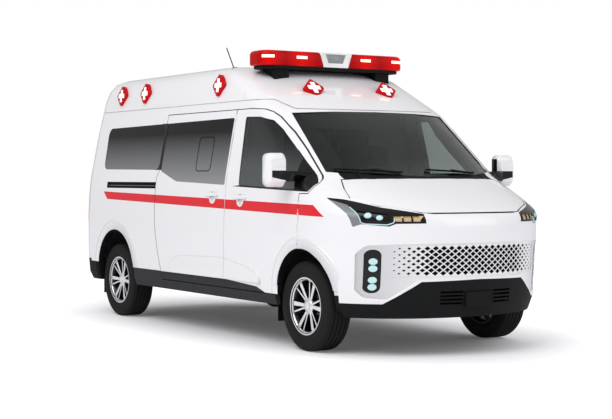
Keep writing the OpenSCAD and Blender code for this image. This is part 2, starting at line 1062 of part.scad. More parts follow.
module front_door(side) {
    color("white") {
        difference() {
            union() {
                intersection() {
                    layer(0, wall, door_sill_z, door_head_z);
                    side_prism(side) front_door_outline();
                }
                arch_flare(side, front_arch) front_door_outline();
                door_relief(side) front_door_outline();
            }
            side_prism(side) front_glass_outline(-glass_lap);
            ledge() side_prism(side) front_glass_outline(seat_gap);
            intersection() {
                skin(door_lip, door_sill_z, door_head_z);
                side_prism(side) translate([door_back_x - 20, 0]) square([36, far]);
            }
            handle_cup(side, fx(-925), 1172);
            at_door_hinges(side) ear_notches(sleeve_h);
            at_door_hinges(side) cylinder(r = bore_r, h = sleeve_h, center = true);
        }
        handle_grip(side, fx(-925), 1172);
        at_door_hinges(side) hinge_sleeve(sleeve_h);
    }
}

module front_door_right() front_door(-1);
module front_door_left() front_door(1);

module front_door_glass(side) {
    color("#223038")
        intersection() {
            layer(glass_set, glass_set + glass_t, glass_low, glass_high);
            side_prism(side) front_glass_outline();
        }
}

module front_door_glass_right() front_door_glass(-1);
module front_door_glass_left() front_door_glass(1);

// Shell with a crowned front and a pocket for the glass, on an arm from the door's black corner
module mirror_head(side) {
    shell_x = fx(-205);
    shell_size = [169, 261];
    shell_at = [side * iy(-114.5), 1388.5];
    arm_y = side * iy(160);
    color("white")
        difference() {
            union() {
                translate([shell_x, shell_at[0], shell_at[1]]) rotate([90, 0, 90]) {
                    linear_extrude(64) rounded(45) square(shell_size, center = true);
                    translate([0, 0, 64])
                        linear_extrude(40, scale = 0.76) rounded(45) square(shell_size, center = true);
                }
                plan_prism(1300, 1380)
                    polygon([
                        [shell_x + 40, shell_at[0]], [shell_x + 90, shell_at[0]],
                        [shell_x + 190, arm_y], [shell_x + 40, arm_y]
                    ]);
            }
            skin(-seat_gap, 1200, 1500);
            translate([shell_x - 1, shell_at[0], shell_at[1]])
                rotate([90, 0, 90])
                    linear_extrude(6) rounded(34) square(shell_size - [32, 32], center = true);
        }
}

module mirror_right() mirror_head(-1);
module mirror_left() mirror_head(1);

module tail_door(side) {
    flip = side > 0 ? 0 : 1;
    color("white") {
        difference() {
            intersection() {
                layer(0, wall, tail_door_foot_z, gutter_z);
                long_prism(tail_x - 10, tail_x + 260) mirror([flip, 0]) tail_door_outline();
            }
            long_prism(tail_x - 10, tail_x + 260) mirror([flip, 0]) tail_glass_outline(-glass_lap);
            ledge() long_prism(tail_x - 10, tail_x + 260) mirror([flip, 0]) tail_glass_outline(seat_gap);
            at_tail_hinges(side) ear_notches(sleeve_h);
            at_tail_hinges(side) cylinder(r = bore_r, h = sleeve_h, center = true);
        }
        at_tail_hinges(side) hinge_sleeve(sleeve_h);
    }
}

module rear_door_right() tail_door(-1);
module rear_door_left() tail_door(1);

module tail_glass(side) {
    color("#223038")
        intersection() {
            layer(glass_set, glass_set + glass_t, glass_low, glass_high);
            long_prism(tail_x - 10, tail_x + 260)
                mirror([side > 0 ? 0 : 1, 0]) tail_glass_outline();
        }
}

module rear_glass_right() tail_glass(-1);
module rear_glass_left() tail_glass(1);

/* Running gear */

module tyre(x, side) {
    color("#1a1a1a")
        translate([x, side * half_track, axle_z])
            rotate([90, 0, 0])
                rotate_extrude($fn = 96)
                    polygon([
                        [rim_r + seat_gap, -85], [rim_r + 22, -98], [285, -tyre_w / 2], [322, -100],
                        [tyre_r - 3, -82], [tyre_r, -60], [tyre_r, 60], [tyre_r - 3, 82],
                        [322, 100], [285, tyre_w / 2], [rim_r + 22, 98], [rim_r + seat_gap, 85]
                    ]);
}

// Thick and thin spoke of one pair, in the wheel's plane
module spoke_pair_outline() {
    rotate(-spoke_split / 2) polygon([[40, -11], [210, -18], [210, 18], [40, 11]]);
    rotate(spoke_split / 2) polygon([[40, -7], [210, -6], [210, 6], [40, 7]]);
}

module rim(x, side) {
    color("silver")
        translate([x, side * half_track, axle_z])
            rotate([90, 0, 0])
                mirror([0, 0, side > 0 ? 1 : 0]) {
                    rotate_extrude($fn = 96)
                        polygon([
                            [rim_r, -98], [rim_r, 98], [rim_r - 10, 98], [rim_r - 14, 90], [rim_r - 24, 84],
                            [rim_r - 24, -84], [rim_r - 14, -98]
                        ]);
                    // Dished face, cut to spokes
                    intersection() {
                        rotate_extrude($fn = 96)
                            polygon([
                                [spindle_r + pin_gap, 20], [spindle_r + pin_gap, 74], [44, 74], [50, 66],
                                [rim_r - 20, 88], [rim_r - 20, 58], [hub_r, 24], [hub_r, 20]
                            ]);
                        linear_extrude(120) {
                            circle(hub_r);
                            for (i = [0:spoke_pairs - 1]) rotate(360 / spoke_pairs * i + spoke_turn) spoke_pair_outline();
                        }
                    }
                    // Brake disc on the hub
                    rotate_extrude($fn = 96)
                        polygon([
                            [spindle_r + pin_gap, -4], [spindle_r + pin_gap, 21], [hub_r, 21], [hub_r, 12],
                            [150, 12], [150, -4]
                        ]);
                }
}

module tyre_front_right() tyre(front_axle_x, -1);
module tyre_front_left() tyre(front_axle_x, 1);
module tyre_rear_right() tyre(rear_axle_x, -1);
module tyre_rear_left() tyre(rear_axle_x, 1);
module rim_front_right() rim(front_axle_x, -1);
module rim_front_left() rim(front_axle_x, 1);
module rim_rear_right() rim(rear_axle_x, -1);
module rim_rear_left() rim(rear_axle_x, 1);

module knuckle(side) {
    color("gray")
        translate([front_axle_x, side * pivot_y, axle_z]) {
            difference() {
                union() {
                    cylinder(r = 40, h = 80, center = true);
                    rotate([90, 0, side > 0 ? 180 : 0]) cylinder(r = spindle_r, h = pivot_offset + 60);
                }
                cylinder(r = king_r + pin_gap, h = 200, center = true);
            }
        }
}

module knuckle_right() knuckle(-1);
module knuckle_left() knuckle(1);

module front_subframe() {
    rail_top = floor_z - floor_t - seat_gap;
    color("#444444")
        for (s = [-1, 1]) {
            box([fx(-700), fx(800)], [s * rail_y - 40, s * rail_y + 40], [430, rail_top]);
            for (z = [-1, 1])
                translate([front_axle_x, 0, axle_z + z * 57])
                    linear_extrude(30, center = true) {
                        translate([0, s * pivot_y]) circle(45);
                        translate([-40, s > 0 ? 400 : -pivot_y]) square([80, pivot_y - 400]);
                    }
            translate([front_axle_x, s * pivot_y, axle_z]) cylinder(r = king_r, h = 130, center = true);
            box([fx(-45), fx(45)], [s * rail_y - 30, s * rail_y + 30], [274, 431]);
            if (s > 0) {
                box([fx(-45), fx(45)], [-460, 460], [274, 304]);
                box([fx(330), fx(400)], [-391, 391], [430, 470]);
                box([fx(740), fx(800)], [-391, 391], [430, 530]);
            }
        }
}

module rear_axle() {
    color("#333333") {
        translate([rear_axle_x, 0, axle_z]) rotate([90, 0, 0]) {
            cylinder(r = 42, h = 2 * (half_track - 110), center = true);
            cylinder(r = spindle_r, h = 2 * (half_track + 60), center = true);
            cylinder(r = 120, h = 220, center = true);
        }
        for (s = [-1, 1]) {
            box([rear_axle_x - 560, rear_axle_x + 560], [s * 500 - 35, s * 500 + 35], [380, 416]);
            for (x = [-545, 545])
                box([rear_axle_x + x - 15, rear_axle_x + x + 15], [s * 500 - 35, s * 500 + 35],
                    [400, floor_z - floor_t - seat_gap]);
        }
    }
}

module wheel_liners() {
    color("#1c1c1c")
        for (s = [-1, 1]) {
            intersection() {
                skin(panel_t + seat_gap, 300, 900);
                side_prism(s, liner_y, 935)
                    difference() {
                        arch_outline(front_liner, -seat_gap);
                        arch_outline(front_liner, -liner_t);
                        square([2 * far, 2 * liner_foot_z], center = true);
                    }
            }
            side_prism(s, rear_liner_y, 940)
                difference() {
                    arch_outline(rear_liner, -seat_gap);
                    arch_outline(rear_liner, -liner_t);
                    square([2 * far, 2 * liner_foot_z], center = true);
                }
        }
}

/* Roof equipment */

// Tray on two feet that follow the roof
module light_bar_base() {
    color("#222222")
        difference() {
            union() {
                translate([bar_x, 0, bar_z])
                    linear_extrude(tray_h)
                        rounded(bar_depth / 2 - 40) square([bar_depth - 30, bar_len - 60], center = true);
                for (s = [-1, 1])
                    translate([bar_x, s * (bar_len / 2 - 215), bar_z - 150])
                        linear_extrude(151) rounded(12) square([200, 150], center = true);
            }
            skin(-seat_gap, 2000);
        }
}

// Middle housing seen from the front, wider at the top
module speaker_outline(grow = 0) {
    offset(delta = grow)
        polygon([
            [-127, lens_z], [127, lens_z], [166, lens_z + bar_h - 6], [150, lens_z + bar_h],
            [-150, lens_z + bar_h], [-166, lens_z + bar_h - 6]
        ]);
}

// Two lenses with crowned tops and round ends
module light_bar_lenses() {
    color("red")
        difference() {
            translate([bar_x, 0, lens_z])
                hull()
                    for (slab = [[0, 6], [18, 0], [bar_h - 30, 0], [bar_h - 10, 16], [bar_h - 1, 40]])
                        translate([0, 0, slab[0]])
                            linear_extrude(1)
                                rounded(bar_depth / 2 - 42)
                                    square([bar_depth - 2 * slab[1], bar_len - 2 * slab[1]], center = true);
            long_prism(bar_x - bar_depth, bar_x + bar_depth) {
                speaker_outline(seat_gap);
                translate([0, lens_z + bar_h]) square([332 + 2 * seat_gap, 12], center = true);
            }
        }
}

module light_bar_speaker() {
    color("silver")
        difference() {
            long_prism(bar_x - bar_depth / 2 + 8, bar_x + bar_depth / 2 - 8) speaker_outline();
            // Sunk grille in the front face
            long_prism(bar_x + bar_depth / 2 - 20, bar_x + bar_depth)
                polygon([
                    [-76, lens_z + 36], [76, lens_z + 36], [104, lens_z + bar_h - 14], [-104, lens_z + bar_h - 14]
                ]);
        }
}

module diamond(size) {
    rotate(45) rounded(24) square(size / sqrt(2), center = true);
}

module cross_outline() {
    square([lamp_size * 0.56, lamp_size * 0.19], center = true);
    square([lamp_size * 0.19, lamp_size * 0.56], center = true);
}

// Lamp that faces ahead: diamond housing, raised cross and a foot behind it
module cross_lamp() {
    rotate([90, 0, 90]) {
        translate([0, 0, -lamp_t]) linear_extrude(lamp_t) diamond(lamp_size);
        linear_extrude(cross_h) cross_outline();
        translate([0, 0, -lamp_foot]) linear_extrude(lamp_foot - lamp_t + 1) diamond(lamp_size * 0.6);
    }
}

// Three lamps along each side of the roof and two on the brow, seated on the skin
module cross_lamps() {
    color("red")
        difference() {
            for (s = [-1, 1]) {
                for (x = [fx(-1546), tx(1149), tx(634)])
                    translate([x, s * iy(151), 2120]) rotate([0, -side_tilt, s * 90]) cross_lamp();
                translate([fx(-795), s * iy(648), 2078]) rotate([0, -brow_tilt, 0]) cross_lamp();
            }
            skin(-seat_gap, 1700);
        }
}

module antenna() {
    color("#1c1c1c")
        difference() {
            translate([fx(-1790), -iy(456), 2262]) {
                cylinder(r = 24, h = 40);
                rotate([0, -35, 0]) cylinder(r = 5, h = 270);
            }
            skin(-seat_gap, 2000);
        }
}

/* Cab */

module at_steering_wheel() {
    translate([fx(-420), seat_y - 10, 1200]) rotate([0, -62, 0]) children();
}

module dashboard() {
    color("#333333")
        difference() {
            intersection() {
                skin(wall + 45, 700, 1350);
                cross_prism()
                    polygon([
                        [fx(60) - seat_gap, 850], [fx(60) - seat_gap, 1236 + seat_gap],
                        [fx(150), 1236 + seat_gap], [fx(120), 1280], [fx(20), 1296],
                        [fx(-250), 1240], [fx(-330), 1150], [fx(-300), 950], [fx(-150), 850]
                    ]);
            }
            at_steering_wheel() translate([0, 0, -200]) cylinder(r = 45 + seat_gap, h = 260);
            // Room for the front corner of each door to swing in
            for (s = [-1, 1])
                translate([hinge_x, s * hinge_y, 1200]) cylinder(r = sail_swing_r, h = 200);
        }
}

module steering_wheel() {
    color("#1c1c1c")
        at_steering_wheel() {
            rotate_extrude() translate([180, 0]) circle(16);
            for (a = [0, 120, 240]) rotate(a) translate([0, -15, -8]) cube([176, 30, 16]);
            translate([0, 0, -190]) cylinder(r = 45, h = 200);
        }
}

module front_seats() {
    color("#3a3d42")
        for (s = [-1, 1])
            translate([0, s * seat_y, 0]) {
                rotate([90, 0, 0])
                    linear_extrude(500, center = true)
                        rounded(30)
                            polygon([
                                [fx(-450), 760], [fx(-450), 880], [fx(-890), 850], [fx(-985), 1420],
                                [fx(-1090), 1420], [fx(-1030), 760]
                            ]);
                rotate([90, 0, 0])
                    linear_extrude(260, center = true)
                        rounded(24)
                            polygon([
                                [fx(-995), 1400], [fx(-1010), 1600], [fx(-1095), 1600], [fx(-1080), 1400]
                            ]);
                box([fx(-980), fx(-520)], [-180, 180], [floor_z + seat_gap, 790]);
            }
}

module partition() {
    color("lightgray")
        difference() {
            intersection() {
                skin(wall + post_gap + post_t + seat_gap, 300);
                box([slider_front_x - 15, slider_front_x + 15], [-far, far], [floor_z + seat_gap, roof_z]);
            }
            box([slider_front_x - 50, slider_front_x + 50], [-450, 450], [1300, 1750]);
        }
}

/* Underside and small fittings */

module engine_block() {
    color("#555555") box([fx(130), fx(640)], [-280, 280], [470 + seat_gap, 980]);
}

module fuel_tank() {
    color("#2a2a2a")
        box([fx(-2100), fx(-1300)], [iy(536), iy(196)], [330, floor_z - floor_t - seat_gap]);
}

module exhaust() {
    color("#777777") {
        box([fx(-1900), fx(-1300)], [-380, -140], [330, 470]);
        translate([fx(-2600), -260, 400]) rotate([0, 90, 0]) cylinder(r = 28, h = 2650);
        for (x = [-1400, -1800])
            box([fx(x) - 10, fx(x) + 10], [-275, -245], [460, floor_z - floor_t - seat_gap]);
    }
}

module mud_flaps() {
    color("#1a1a1a")
        for (s = [-1, 1], liner = [front_liner, rear_liner]) {
            x = liner[0] - liner[2];
            box([x - 10, x], s > 0 ? [760, 935] : [-935, -760], [195, 400]);
        }
}

module plate_holder() {
    color("#1a1a1a")
        difference() {
            box([nose_x - 30, nose_x - 14], [-125, 125], [368, 480]);
            skin(-seat_gap, 300, 600);
            for (s = [-1, 1])
                translate([nose_x - 60, s * plate_pitch / 2, 435])
                    rotate([0, 90, 0]) cylinder(r = plate_hole_r, h = 80);
        }
}

floor_pan();
side_frame_right();
side_frame_left();
sills();
roof_panel();
roof_cap();
front_wing_right();
front_wing_left();
door_posts();
front_fascia();
front_bumper();
grille();
driving_lamps();
headlamps();
cowl();
windscreen();
sliding_door();
side_glass();
rear_bumper();
tail_lamps();
bonnet();
front_door_right();
front_door_left();
front_door_glass_right();
front_door_glass_left();
mirror_right();
mirror_left();
rear_door_right();
rear_door_left();
rear_glass_right();
rear_glass_left();
tyre_front_right();
tyre_front_left();
tyre_rear_right();
tyre_rear_left();
rim_front_right();
rim_front_left();
rim_rear_right();
rim_rear_left();
knuckle_right();
knuckle_left();
front_subframe();
rear_axle();
wheel_liners();
light_bar_base();
light_bar_lenses();
light_bar_speaker();
cross_lamps();
antenna();
dashboard();
steering_wheel();
front_seats();
partition();
engine_block();
fuel_tank();
exhaust();
mud_flaps();
plate_holder();
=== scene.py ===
import json
import math
import bpy
import bmesh
from mathutils import Matrix, Vector


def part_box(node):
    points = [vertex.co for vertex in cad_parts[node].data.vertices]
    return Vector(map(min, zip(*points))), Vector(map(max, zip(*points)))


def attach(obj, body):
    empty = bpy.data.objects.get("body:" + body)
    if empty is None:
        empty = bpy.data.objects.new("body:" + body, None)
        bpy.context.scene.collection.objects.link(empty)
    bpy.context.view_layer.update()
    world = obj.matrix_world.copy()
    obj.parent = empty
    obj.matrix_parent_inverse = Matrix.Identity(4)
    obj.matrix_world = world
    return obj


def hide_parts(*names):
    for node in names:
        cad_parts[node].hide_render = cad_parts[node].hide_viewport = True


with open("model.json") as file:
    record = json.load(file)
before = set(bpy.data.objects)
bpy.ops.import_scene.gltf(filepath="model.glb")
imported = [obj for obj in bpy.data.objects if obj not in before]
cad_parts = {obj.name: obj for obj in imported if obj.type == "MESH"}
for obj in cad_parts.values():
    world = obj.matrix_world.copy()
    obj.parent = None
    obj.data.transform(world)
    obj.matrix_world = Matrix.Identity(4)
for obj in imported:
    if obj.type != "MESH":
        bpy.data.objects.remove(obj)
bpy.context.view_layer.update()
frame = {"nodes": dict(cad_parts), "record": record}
nodes = frame["nodes"]
record = frame["record"]
bodyOf = {node: body for body, members in record["behaviour"]["bodies"].items() for node in members}
mm = 0.001
mergeDistance = 0.02 * mm  # corners closer than this are one
cutTolerance = 1e-6
print("frame loaded:", len(nodes), "nodes")


# Places are taken from the frame: the front axle is the zero of the side drawings.
def middle(node):
    low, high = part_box(node)
    return (low + high) / 2


frontAxle = middle("rim_front_right").x
halfTrack = abs(middle("tyre_front_right").y)
axleHeight = middle("rim_front_right").z
sides = {"right": -1, "left": 1}  # sign of Y


def fromAxle(x):
    return frontAxle + x * mm


def clamped(share):
    return min(max(share, 0.0), 1.0)


# Turn of a shape made along Z so that it looks in a direction
def facingTurn(direction):
    return direction.to_track_quat("Z", "Y").to_matrix().to_4x4()


# A direction turned some degrees towards another
def leaned(direction, towards, degrees):
    angle = math.radians(degrees)
    return (direction * math.cos(angle) + towards * math.sin(angle)).normalized()


# Finishes

def linear(hexColour):
    parts = [int(hexColour[i:i + 2], 16) / 255 for i in (1, 3, 5)]
    return [c / 12.92 if c <= 0.04045 else ((c + 0.055) / 1.055) ** 2.4 for c in parts] + [1.0]


def addNode(tree, kind, settings=None, links=()):
    node = tree.nodes.new(kind)
    for key, value in (settings or {}).items():
        if isinstance(key, int) or key in node.inputs:
            node.inputs[key].default_value = value
        else:
            setattr(node, key, value)
    for source, output, target in links:
        tree.links.new(source.outputs[output], node.inputs[target])
    return node


shaderInputs = {
    "roughness": "Roughness", "metallic": "Metallic", "specular": "Specular IOR Level", "ior": "IOR",
    "transmission": "Transmission Weight", "coat": "Coat Weight", "coatRoughness": "Coat Roughness",
    "sheen": "Sheen Weight", "emission": "Emission Strength", "emissionColour": "Emission Color",
}


def newFinish(name, colour, **settings):
    material = bpy.data.materials.new(name)
    material.use_nodes = True
    shader = material.node_tree.nodes["Principled BSDF"]
    shader.inputs["Base Color"].default_value = linear(colour)
    for key, value in settings.items():
        shader.inputs[shaderInputs[key]].default_value = linear(value) if isinstance(value, str) else value
    return material


# A fine relief of one grain size, for moulded and cast surfaces.
def addGrain(material, grainMm, heightMm):
    tree = material.node_tree
    place = addNode(tree, "ShaderNodeTexCoord")
    grain = addNode(tree, "ShaderNodeTexNoise", {"Scale": 1 / (grainMm * mm), "Detail": 2.0},
                    [(place, "Object", "Vector")])
    bump = addNode(tree, "ShaderNodeBump", {"Strength": 0.35, "Distance": heightMm * mm},
                   [(grain, 0, "Height")])
    tree.links.new(bump.outputs["Normal"], tree.nodes["Principled BSDF"].inputs["Normal"])
    return material


# Colour or strength that changes along one axis, with stops in metres.
def addRun(material, axis, stops, socket="Base Color"):
    tree = material.node_tree
    low, high = stops[0][0], stops[-1][0]
    place = addNode(tree, "ShaderNodeTexCoord")
    axes = addNode(tree, "ShaderNodeSeparateXYZ", None, [(place, "Object", "Vector")])
    share = addNode(tree, "ShaderNodeMapRange", {"From Min": low, "From Max": high}, [(axes, axis, "Value")])
    ramp = addNode(tree, "ShaderNodeValToRGB", None, [(share, "Result", "Fac")])
    elements = ramp.color_ramp.elements
    elements[0].color, elements[1].color = linear(stops[0][1]), linear(stops[-1][1])
    for at, colour in stops[1:-1]:
        elements.new((at - low) / (high - low)).color = linear(colour)
    tree.links.new(ramp.outputs["Color"], tree.nodes["Principled BSDF"].inputs[socket])
    return material


finish = {
    # baked enamel under clear coat: bright white with a tight shine
    "white": newFinish("clearcoatWhiteEnamel", "#f0eff1", roughness=0.35, coat=0.8, coatRoughness=0.05),
    # cast vinyl film: even red with a soft shine
    "stripe": newFinish("redVinylFilm", "#dd1a28", roughness=0.4, specular=0.3),
    # moulded grained polypropylene: dark and matt
    "black": addGrain(newFinish("grainedPolypropylene", "#151617", roughness=0.6, specular=0.12), 6, 0.4),
    # the same moulding painted a lighter grey along the sills and door feet: painted light, for the side
    # light falling on them
    "sill": addGrain(newFinish("polypropylenePaintedLighter", "#323334", roughness=0.6, specular=0.12), 6, 0.4),
    # gloss black ABS trim: deep black with a clear shine
    "gloss": newFinish("glossBlackAbs", "#0b0b0c", roughness=0.2, specular=0.35),
    # extruded rubber seal: near black and dull; also painted shade on the door posts, the walls of the
    # openings and the screens behind the grille
    "seal": newFinish("epdmSealAndPaintedShade", "#080808", roughness=0.7, specular=0.2),
    # laminated windscreen: clear with a grey tint
    "clearGlass": newFinish("laminatedGlass", "#a4aba9", roughness=0.0, transmission=1.0, ior=1.3,
                            specular=0.3),
    # toughened door glass: clear, with a painted reflection of the bright ground, glowing in its lower part
    "doorGlass": addRun(newFinish("toughenedGlass", "#a4aba9", roughness=0.0, transmission=1.0, ior=1.3,
                                  specular=0.3, emissionColour="#c9d0d4"),
                        "Z", [(1.22, "#484848"), (1.42, "#404040"), (1.6, "#161616"), (1.75, "#000000")],
                        "Emission Strength"),
    # privacy glass: dark through its depth, painted lighter towards the bottom as a reflection of the ground
    "darkGlass": addRun(newFinish("privacyGlass", "#303335", roughness=0.08, specular=0.12),
                        "Z", [(1.27, "#8f9091"), (1.72, "#151616")]),
    # tread rubber with carbon black: dark grey, no shine
    "tyre": addGrain(newFinish("treadRubber", "#1a1a1b", roughness=0.8, specular=0.22), 5, 0.3),
    # turned face of the cast alloy: bright, with a soft shine
    "alloy": newFinish("machinedAluminium", "#eeeff1", roughness=0.3, metallic=0.6),
    # powder coat in the pockets of the wheel: black with some shine
    "pocket": newFinish("glossBlackPowderCoat", "#0c0c0d", roughness=0.3),
    # cast iron brake disc: mid grey, turned smooth
    "disc": newFinish("greyCastIron", "#6d6e70", roughness=0.45, metallic=1.0),
    # dyed polycarbonate lit from inside: an even red glow
    "redLens": newFinish("redPolycarbonate", "#a8070d", roughness=0.3, specular=0.12,
                         emissionColour="#ff120c", emission=0.16),
    # dyed polycarbonate of the light bar: red, brighter round its diodes
    "barLens": addRun(newFinish("lightBarPolycarbonate", "#9a060a", roughness=0.22, specular=0.08,
                                emissionColour="#ff120a"),
                      "Y", [(-0.73, "#5c5c5c"), (-0.676, "#b4b4b4"), (-0.51, "#505050"), (-0.347, "#b4b4b4"),
                            (-0.19, "#505050"), (0.17, "#505050"), (0.305, "#b4b4b4"), (0.46, "#505050"),
                            (0.628, "#b4b4b4"), (0.73, "#5c5c5c")], "Emission Strength"),
    # light-emitting diodes: small warm patches, brighter than the lens
    "lampSpot": newFinish("warmDiode", "#fff1d0", emissionColour="#ffe2b0", emission=1.6),
    # opal acrylic, lit: flat white
    "cross": newFinish("opalAcrylic", "#ffffff", emissionColour="#ffffff", emission=0.55),
    # lacquered die casting: satin grey
    "silver": newFinish("silverLacquer", "#85888c", roughness=0.45, metallic=0.4),
    # moulded white ABS: plain white, less shine than the enamel
    "whitePlastic": newFinish("whiteAbs", "#eceded", roughness=0.4),
    # painted aluminium slats over the horn: mid grey
    "slats": newFinish("greyPaintedAluminium", "#8b8e90", roughness=0.4, metallic=0.6),
    # projector glass of the headlamp: faintly blue green, made bright by a glow that is a painted highlight
    "projector": newFinish("projectorGlass", "#a9cdd2", roughness=0.08,
                           emissionColour="#c4eef1", emission=0.3),
    # amber acrylic of the indicator cells: pale brown while unlit, with a faint glow that is painted light
    "amber": newFinish("amberAcrylic", "#c2a880", roughness=0.2, emissionColour="#ffdba6", emission=0.12),
    # frosted acrylic of the daytime lamps: pale blue, softly lit
    "dayLamp": newFinish("frostedAcrylic", "#a9c9cc", roughness=0.2, emissionColour="#cdeff1", emission=0.26),
    # silvered glass: mirrors what lies behind the vehicle
    "mirror": newFinish("silveredGlass", "#c8cdd0", roughness=0.02, metallic=1.0),
    # satin chassis paint: dark, half dull
    "chassis": newFinish("satinChassisBlack", "#191a1b", roughness=0.5),
    # primed steel sheet: flat dark grey
    "sheet": newFinish("primedSheet", "#4a4c4e", roughness=0.55),
    # bare forged steel: grey with a dull metal shine
    "steel": newFinish("forgedSteel", "#77787a", roughness=0.4, metallic=1.0),
    # soft-grained cab moulding: dark grey without glare
    "cab": addGrain(newFinish("softGrainedTrim", "#2b2c2e", roughness=0.6), 8, 0.4),
    # laminate of the partition: light grey and even
    "partition": newFinish("greyLaminate", "#83868a", roughness=0.5),
    # woven seat cloth: 3 mm ribs, drawn that coarse so that they show
    "cloth": addGrain(newFinish("wovenSeatCloth", "#34363a", roughness=0.9, sheen=0.3), 3, 0.8),
    # sand casting of the engine: rough grey metal
    "casting": addGrain(newFinish("roughCasting", "#4c4d4e", roughness=0.6, metallic=0.5), 10, 0.8),
}
print("finishes made:", len(finish))


# The shape of the body's skin, used to give panels their true curvature.
bodyShape = {
    "halfWidth": 1016, "nose": 2535, "tail": -2535, "tailBow": 210, "tailPower": 3.0,
    # height, set-back of the nose, waist, bow length, bow power, set-in of the tail, in mm
    "sections": [
        (290, 75, 50, 800, 2.15, 60), (400, 33, 14, 845, 2.15, 8), (560, 16, 3, 865, 2.15, 0),
        (680, 6, 1, 872, 2.15, 0), (820, 0, 0, 872, 2.15, 0), (960, 0, 2, 860, 2.15, 0),
        (1020, 8, 5, 840, 2.20, 0), (1062, 40, 7, 812, 2.25, 0), (1100, 110, 9, 786, 2.30, 0),
        (1150, 215, 12, 752, 2.35, 0), (1200, 335, 16, 712, 2.40, 0), (1250, 460, 20, 672, 2.47, 2),
        (1300, 590, 26, 628, 2.55, 4), (1345, 700, 32, 570, 2.60, 6), (1500, 900, 59, 510, 2.60, 12),
        (1680, 1130, 92, 460, 2.60, 22), (1860, 1360, 126, 420, 2.60, 40), (1955, 1545, 146, 400, 2.60, 52),
        (2080, 1800, 168, 390, 2.60, 75), (2180, 1990, 198, 380, 2.60, 110),
        (2250, 2170, 250, 370, 2.60, 160), (2285, 2350, 335, 360, 2.50, 230),
        (2300, 2520, 470, 340, 2.40, 330),
    ],
    # step for slopes, in mm, and how squarely a face lies on the skin to take its direction
    "step": 6, "onSkin": 0.93,
}


# The values of a section at a height, on a smooth curve through the rows
def sectionAt(z):
    rows = bodyShape["sections"]
    k = 0
    while k < len(rows) - 2 and z > rows[k + 1][0]:
        k += 1
    before, start, end, after = rows[max(k - 1, 0)], rows[k], rows[k + 1], rows[min(k + 2, len(rows) - 1)]
    gap = end[0] - start[0]
    t = clamped((z - start[0]) / gap)
    values = []
    for i in range(1, 6):
        slopeIn = (end[i] - before[i]) / (end[0] - before[0]) * gap
        slopeOut = (after[i] - start[i]) / (after[0] - start[0]) * gap
        values.append((2 * t ** 3 - 3 * t ** 2 + 1) * start[i] + (t ** 3 - 2 * t ** 2 + t) * slopeIn
                      + (3 * t ** 2 - 2 * t ** 3) * end[i] + (t ** 3 - t ** 2) * slopeOut)
    return values


# Below zero inside the skin and above zero outside, for a place in mm
def skinLevel(x, y, z):
    nose, waist, bow, power, tailIn = sectionAt(z)
    across = abs(y) / (bodyShape["halfWidth"] - waist)
    front = bodyShape["nose"] - nose - bow
    back = bodyShape["tail"] + tailIn + bodyShape["tailBow"]
    if x > front:
        return (((x - front) / bow) ** power + across ** power) ** (1 / power) - 1
    if x < back:
        tailPower = bodyShape["tailPower"]
        return (((back - x) / bodyShape["tailBow"]) ** tailPower + across ** tailPower) ** (1 / tailPower) - 1
    return across - 1


# Outward direction of the skin near a point, and how deep the point lies below it
def skinAt(point):
    x, y, z = (c / mm for c in point)
    h = bodyShape["step"]
    slope = Vector((skinLevel(x + h, y, z) - skinLevel(x - h, y, z),
                    skinLevel(x, y + h, z) - skinLevel(x, y - h, z),
                    skinLevel(x, y, z + h) - skinLevel(x, y, z - h))) / (2 * h)
    steepness = max(slope.length, 1e-9)
    return slope / steepness, -skinLevel(x, y, z) / steepness * mm


# X of the nose's surface at a place across and up, in metres
def noseX(y, z):
    nose, waist, bow, power, tailIn = sectionAt(z / mm)
    across = abs(y) / mm / (bodyShape["halfWidth"] - waist)
    return (bodyShape["nose"] - nose - bow + bow * max(1 - across ** power, 0) ** (1 / power)) * mm


# Distance of the side's surface from the middle, at a place between the rounded ends
def sideY(z):
    return (bodyShape["halfWidth"] - sectionAt(z / mm)[1]) * mm


# Making pieces

# A piece moves with the body of a CAD node, and may take its place.
def makeObject(bm, name, finishes, node, replaces=False, smooth=35):
    mesh = bpy.data.meshes.new(name)
    bm.to_mesh(mesh)
    bm.free()
    for key in finishes:
        mesh.materials.append(finish[key])
    mesh.polygons.foreach_set("use_smooth", [True] * len(mesh.polygons))
    mesh.set_sharp_from_angle(angle=math.radians(smooth))
    piece = bpy.data.objects.new(name, mesh)
    bpy.context.scene.collection.objects.link(piece)
    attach(piece, bodyOf[node])
    if replaces:
        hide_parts(node)
    return piece


def mergedCopy(node):
    bm = bmesh.new()
    bm.from_mesh(nodes[node].data)
    bmesh.ops.remove_doubles(bm, verts=bm.verts, dist=mergeDistance)
    for face in bm.faces:
        face.material_index = 0
    return bm


# Each face takes the finish that a rule names for it.
def paintFaces(bm, names, rule):
    for face in bm.faces:
        face.material_index = names.index(rule(face))


# Loops on the skin take the skin's own direction, so that facets don't show.
# A lean turns that direction for a flare or a recess.
def followSkin(piece, lean=None):
    mesh = piece.data
    onSkin = bodyShape["onSkin"]
    directions = [skinAt(v.co)[0] for v in mesh.vertices]
    normals = [Vector(n.vector) for n in mesh.corner_normals]
    for face in mesh.polygons:
        for loop in face.loop_indices:
            vertex = mesh.loops[loop].vertex_index
            direction = directions[vertex]
            facing = face.normal.dot(direction)
            if facing > onSkin:
                normals[loop] = lean(face.center, mesh.vertices[vertex].co, direction) if lean else direction
            elif facing < -onSkin:
                normals[loop] = -direction
    mesh.normals_split_custom_set(normals)


def inOutline(points, x, z):
    inside = False
    for (x0, z0), (x1, z1) in zip(points, points[1:] + points[:1]):
        if (z0 > z) != (z1 > z) and x < (x1 - x0) * (z - z0) / (z1 - z0) + x0:
            inside = not inside
    return inside


# Planes square to the side, through each pair of neighbouring points of a side drawing
def sidePlanes(points, closed=True):
    following = points[1:] + points[:1] if closed else points[1:]
    return [(Vector((fromAxle(x0), 0, z0 * mm)), Vector((z1 - z0, 0, x0 - x1)).normalized())
            for (x0, z0), (x1, z1) in zip(points, following)]


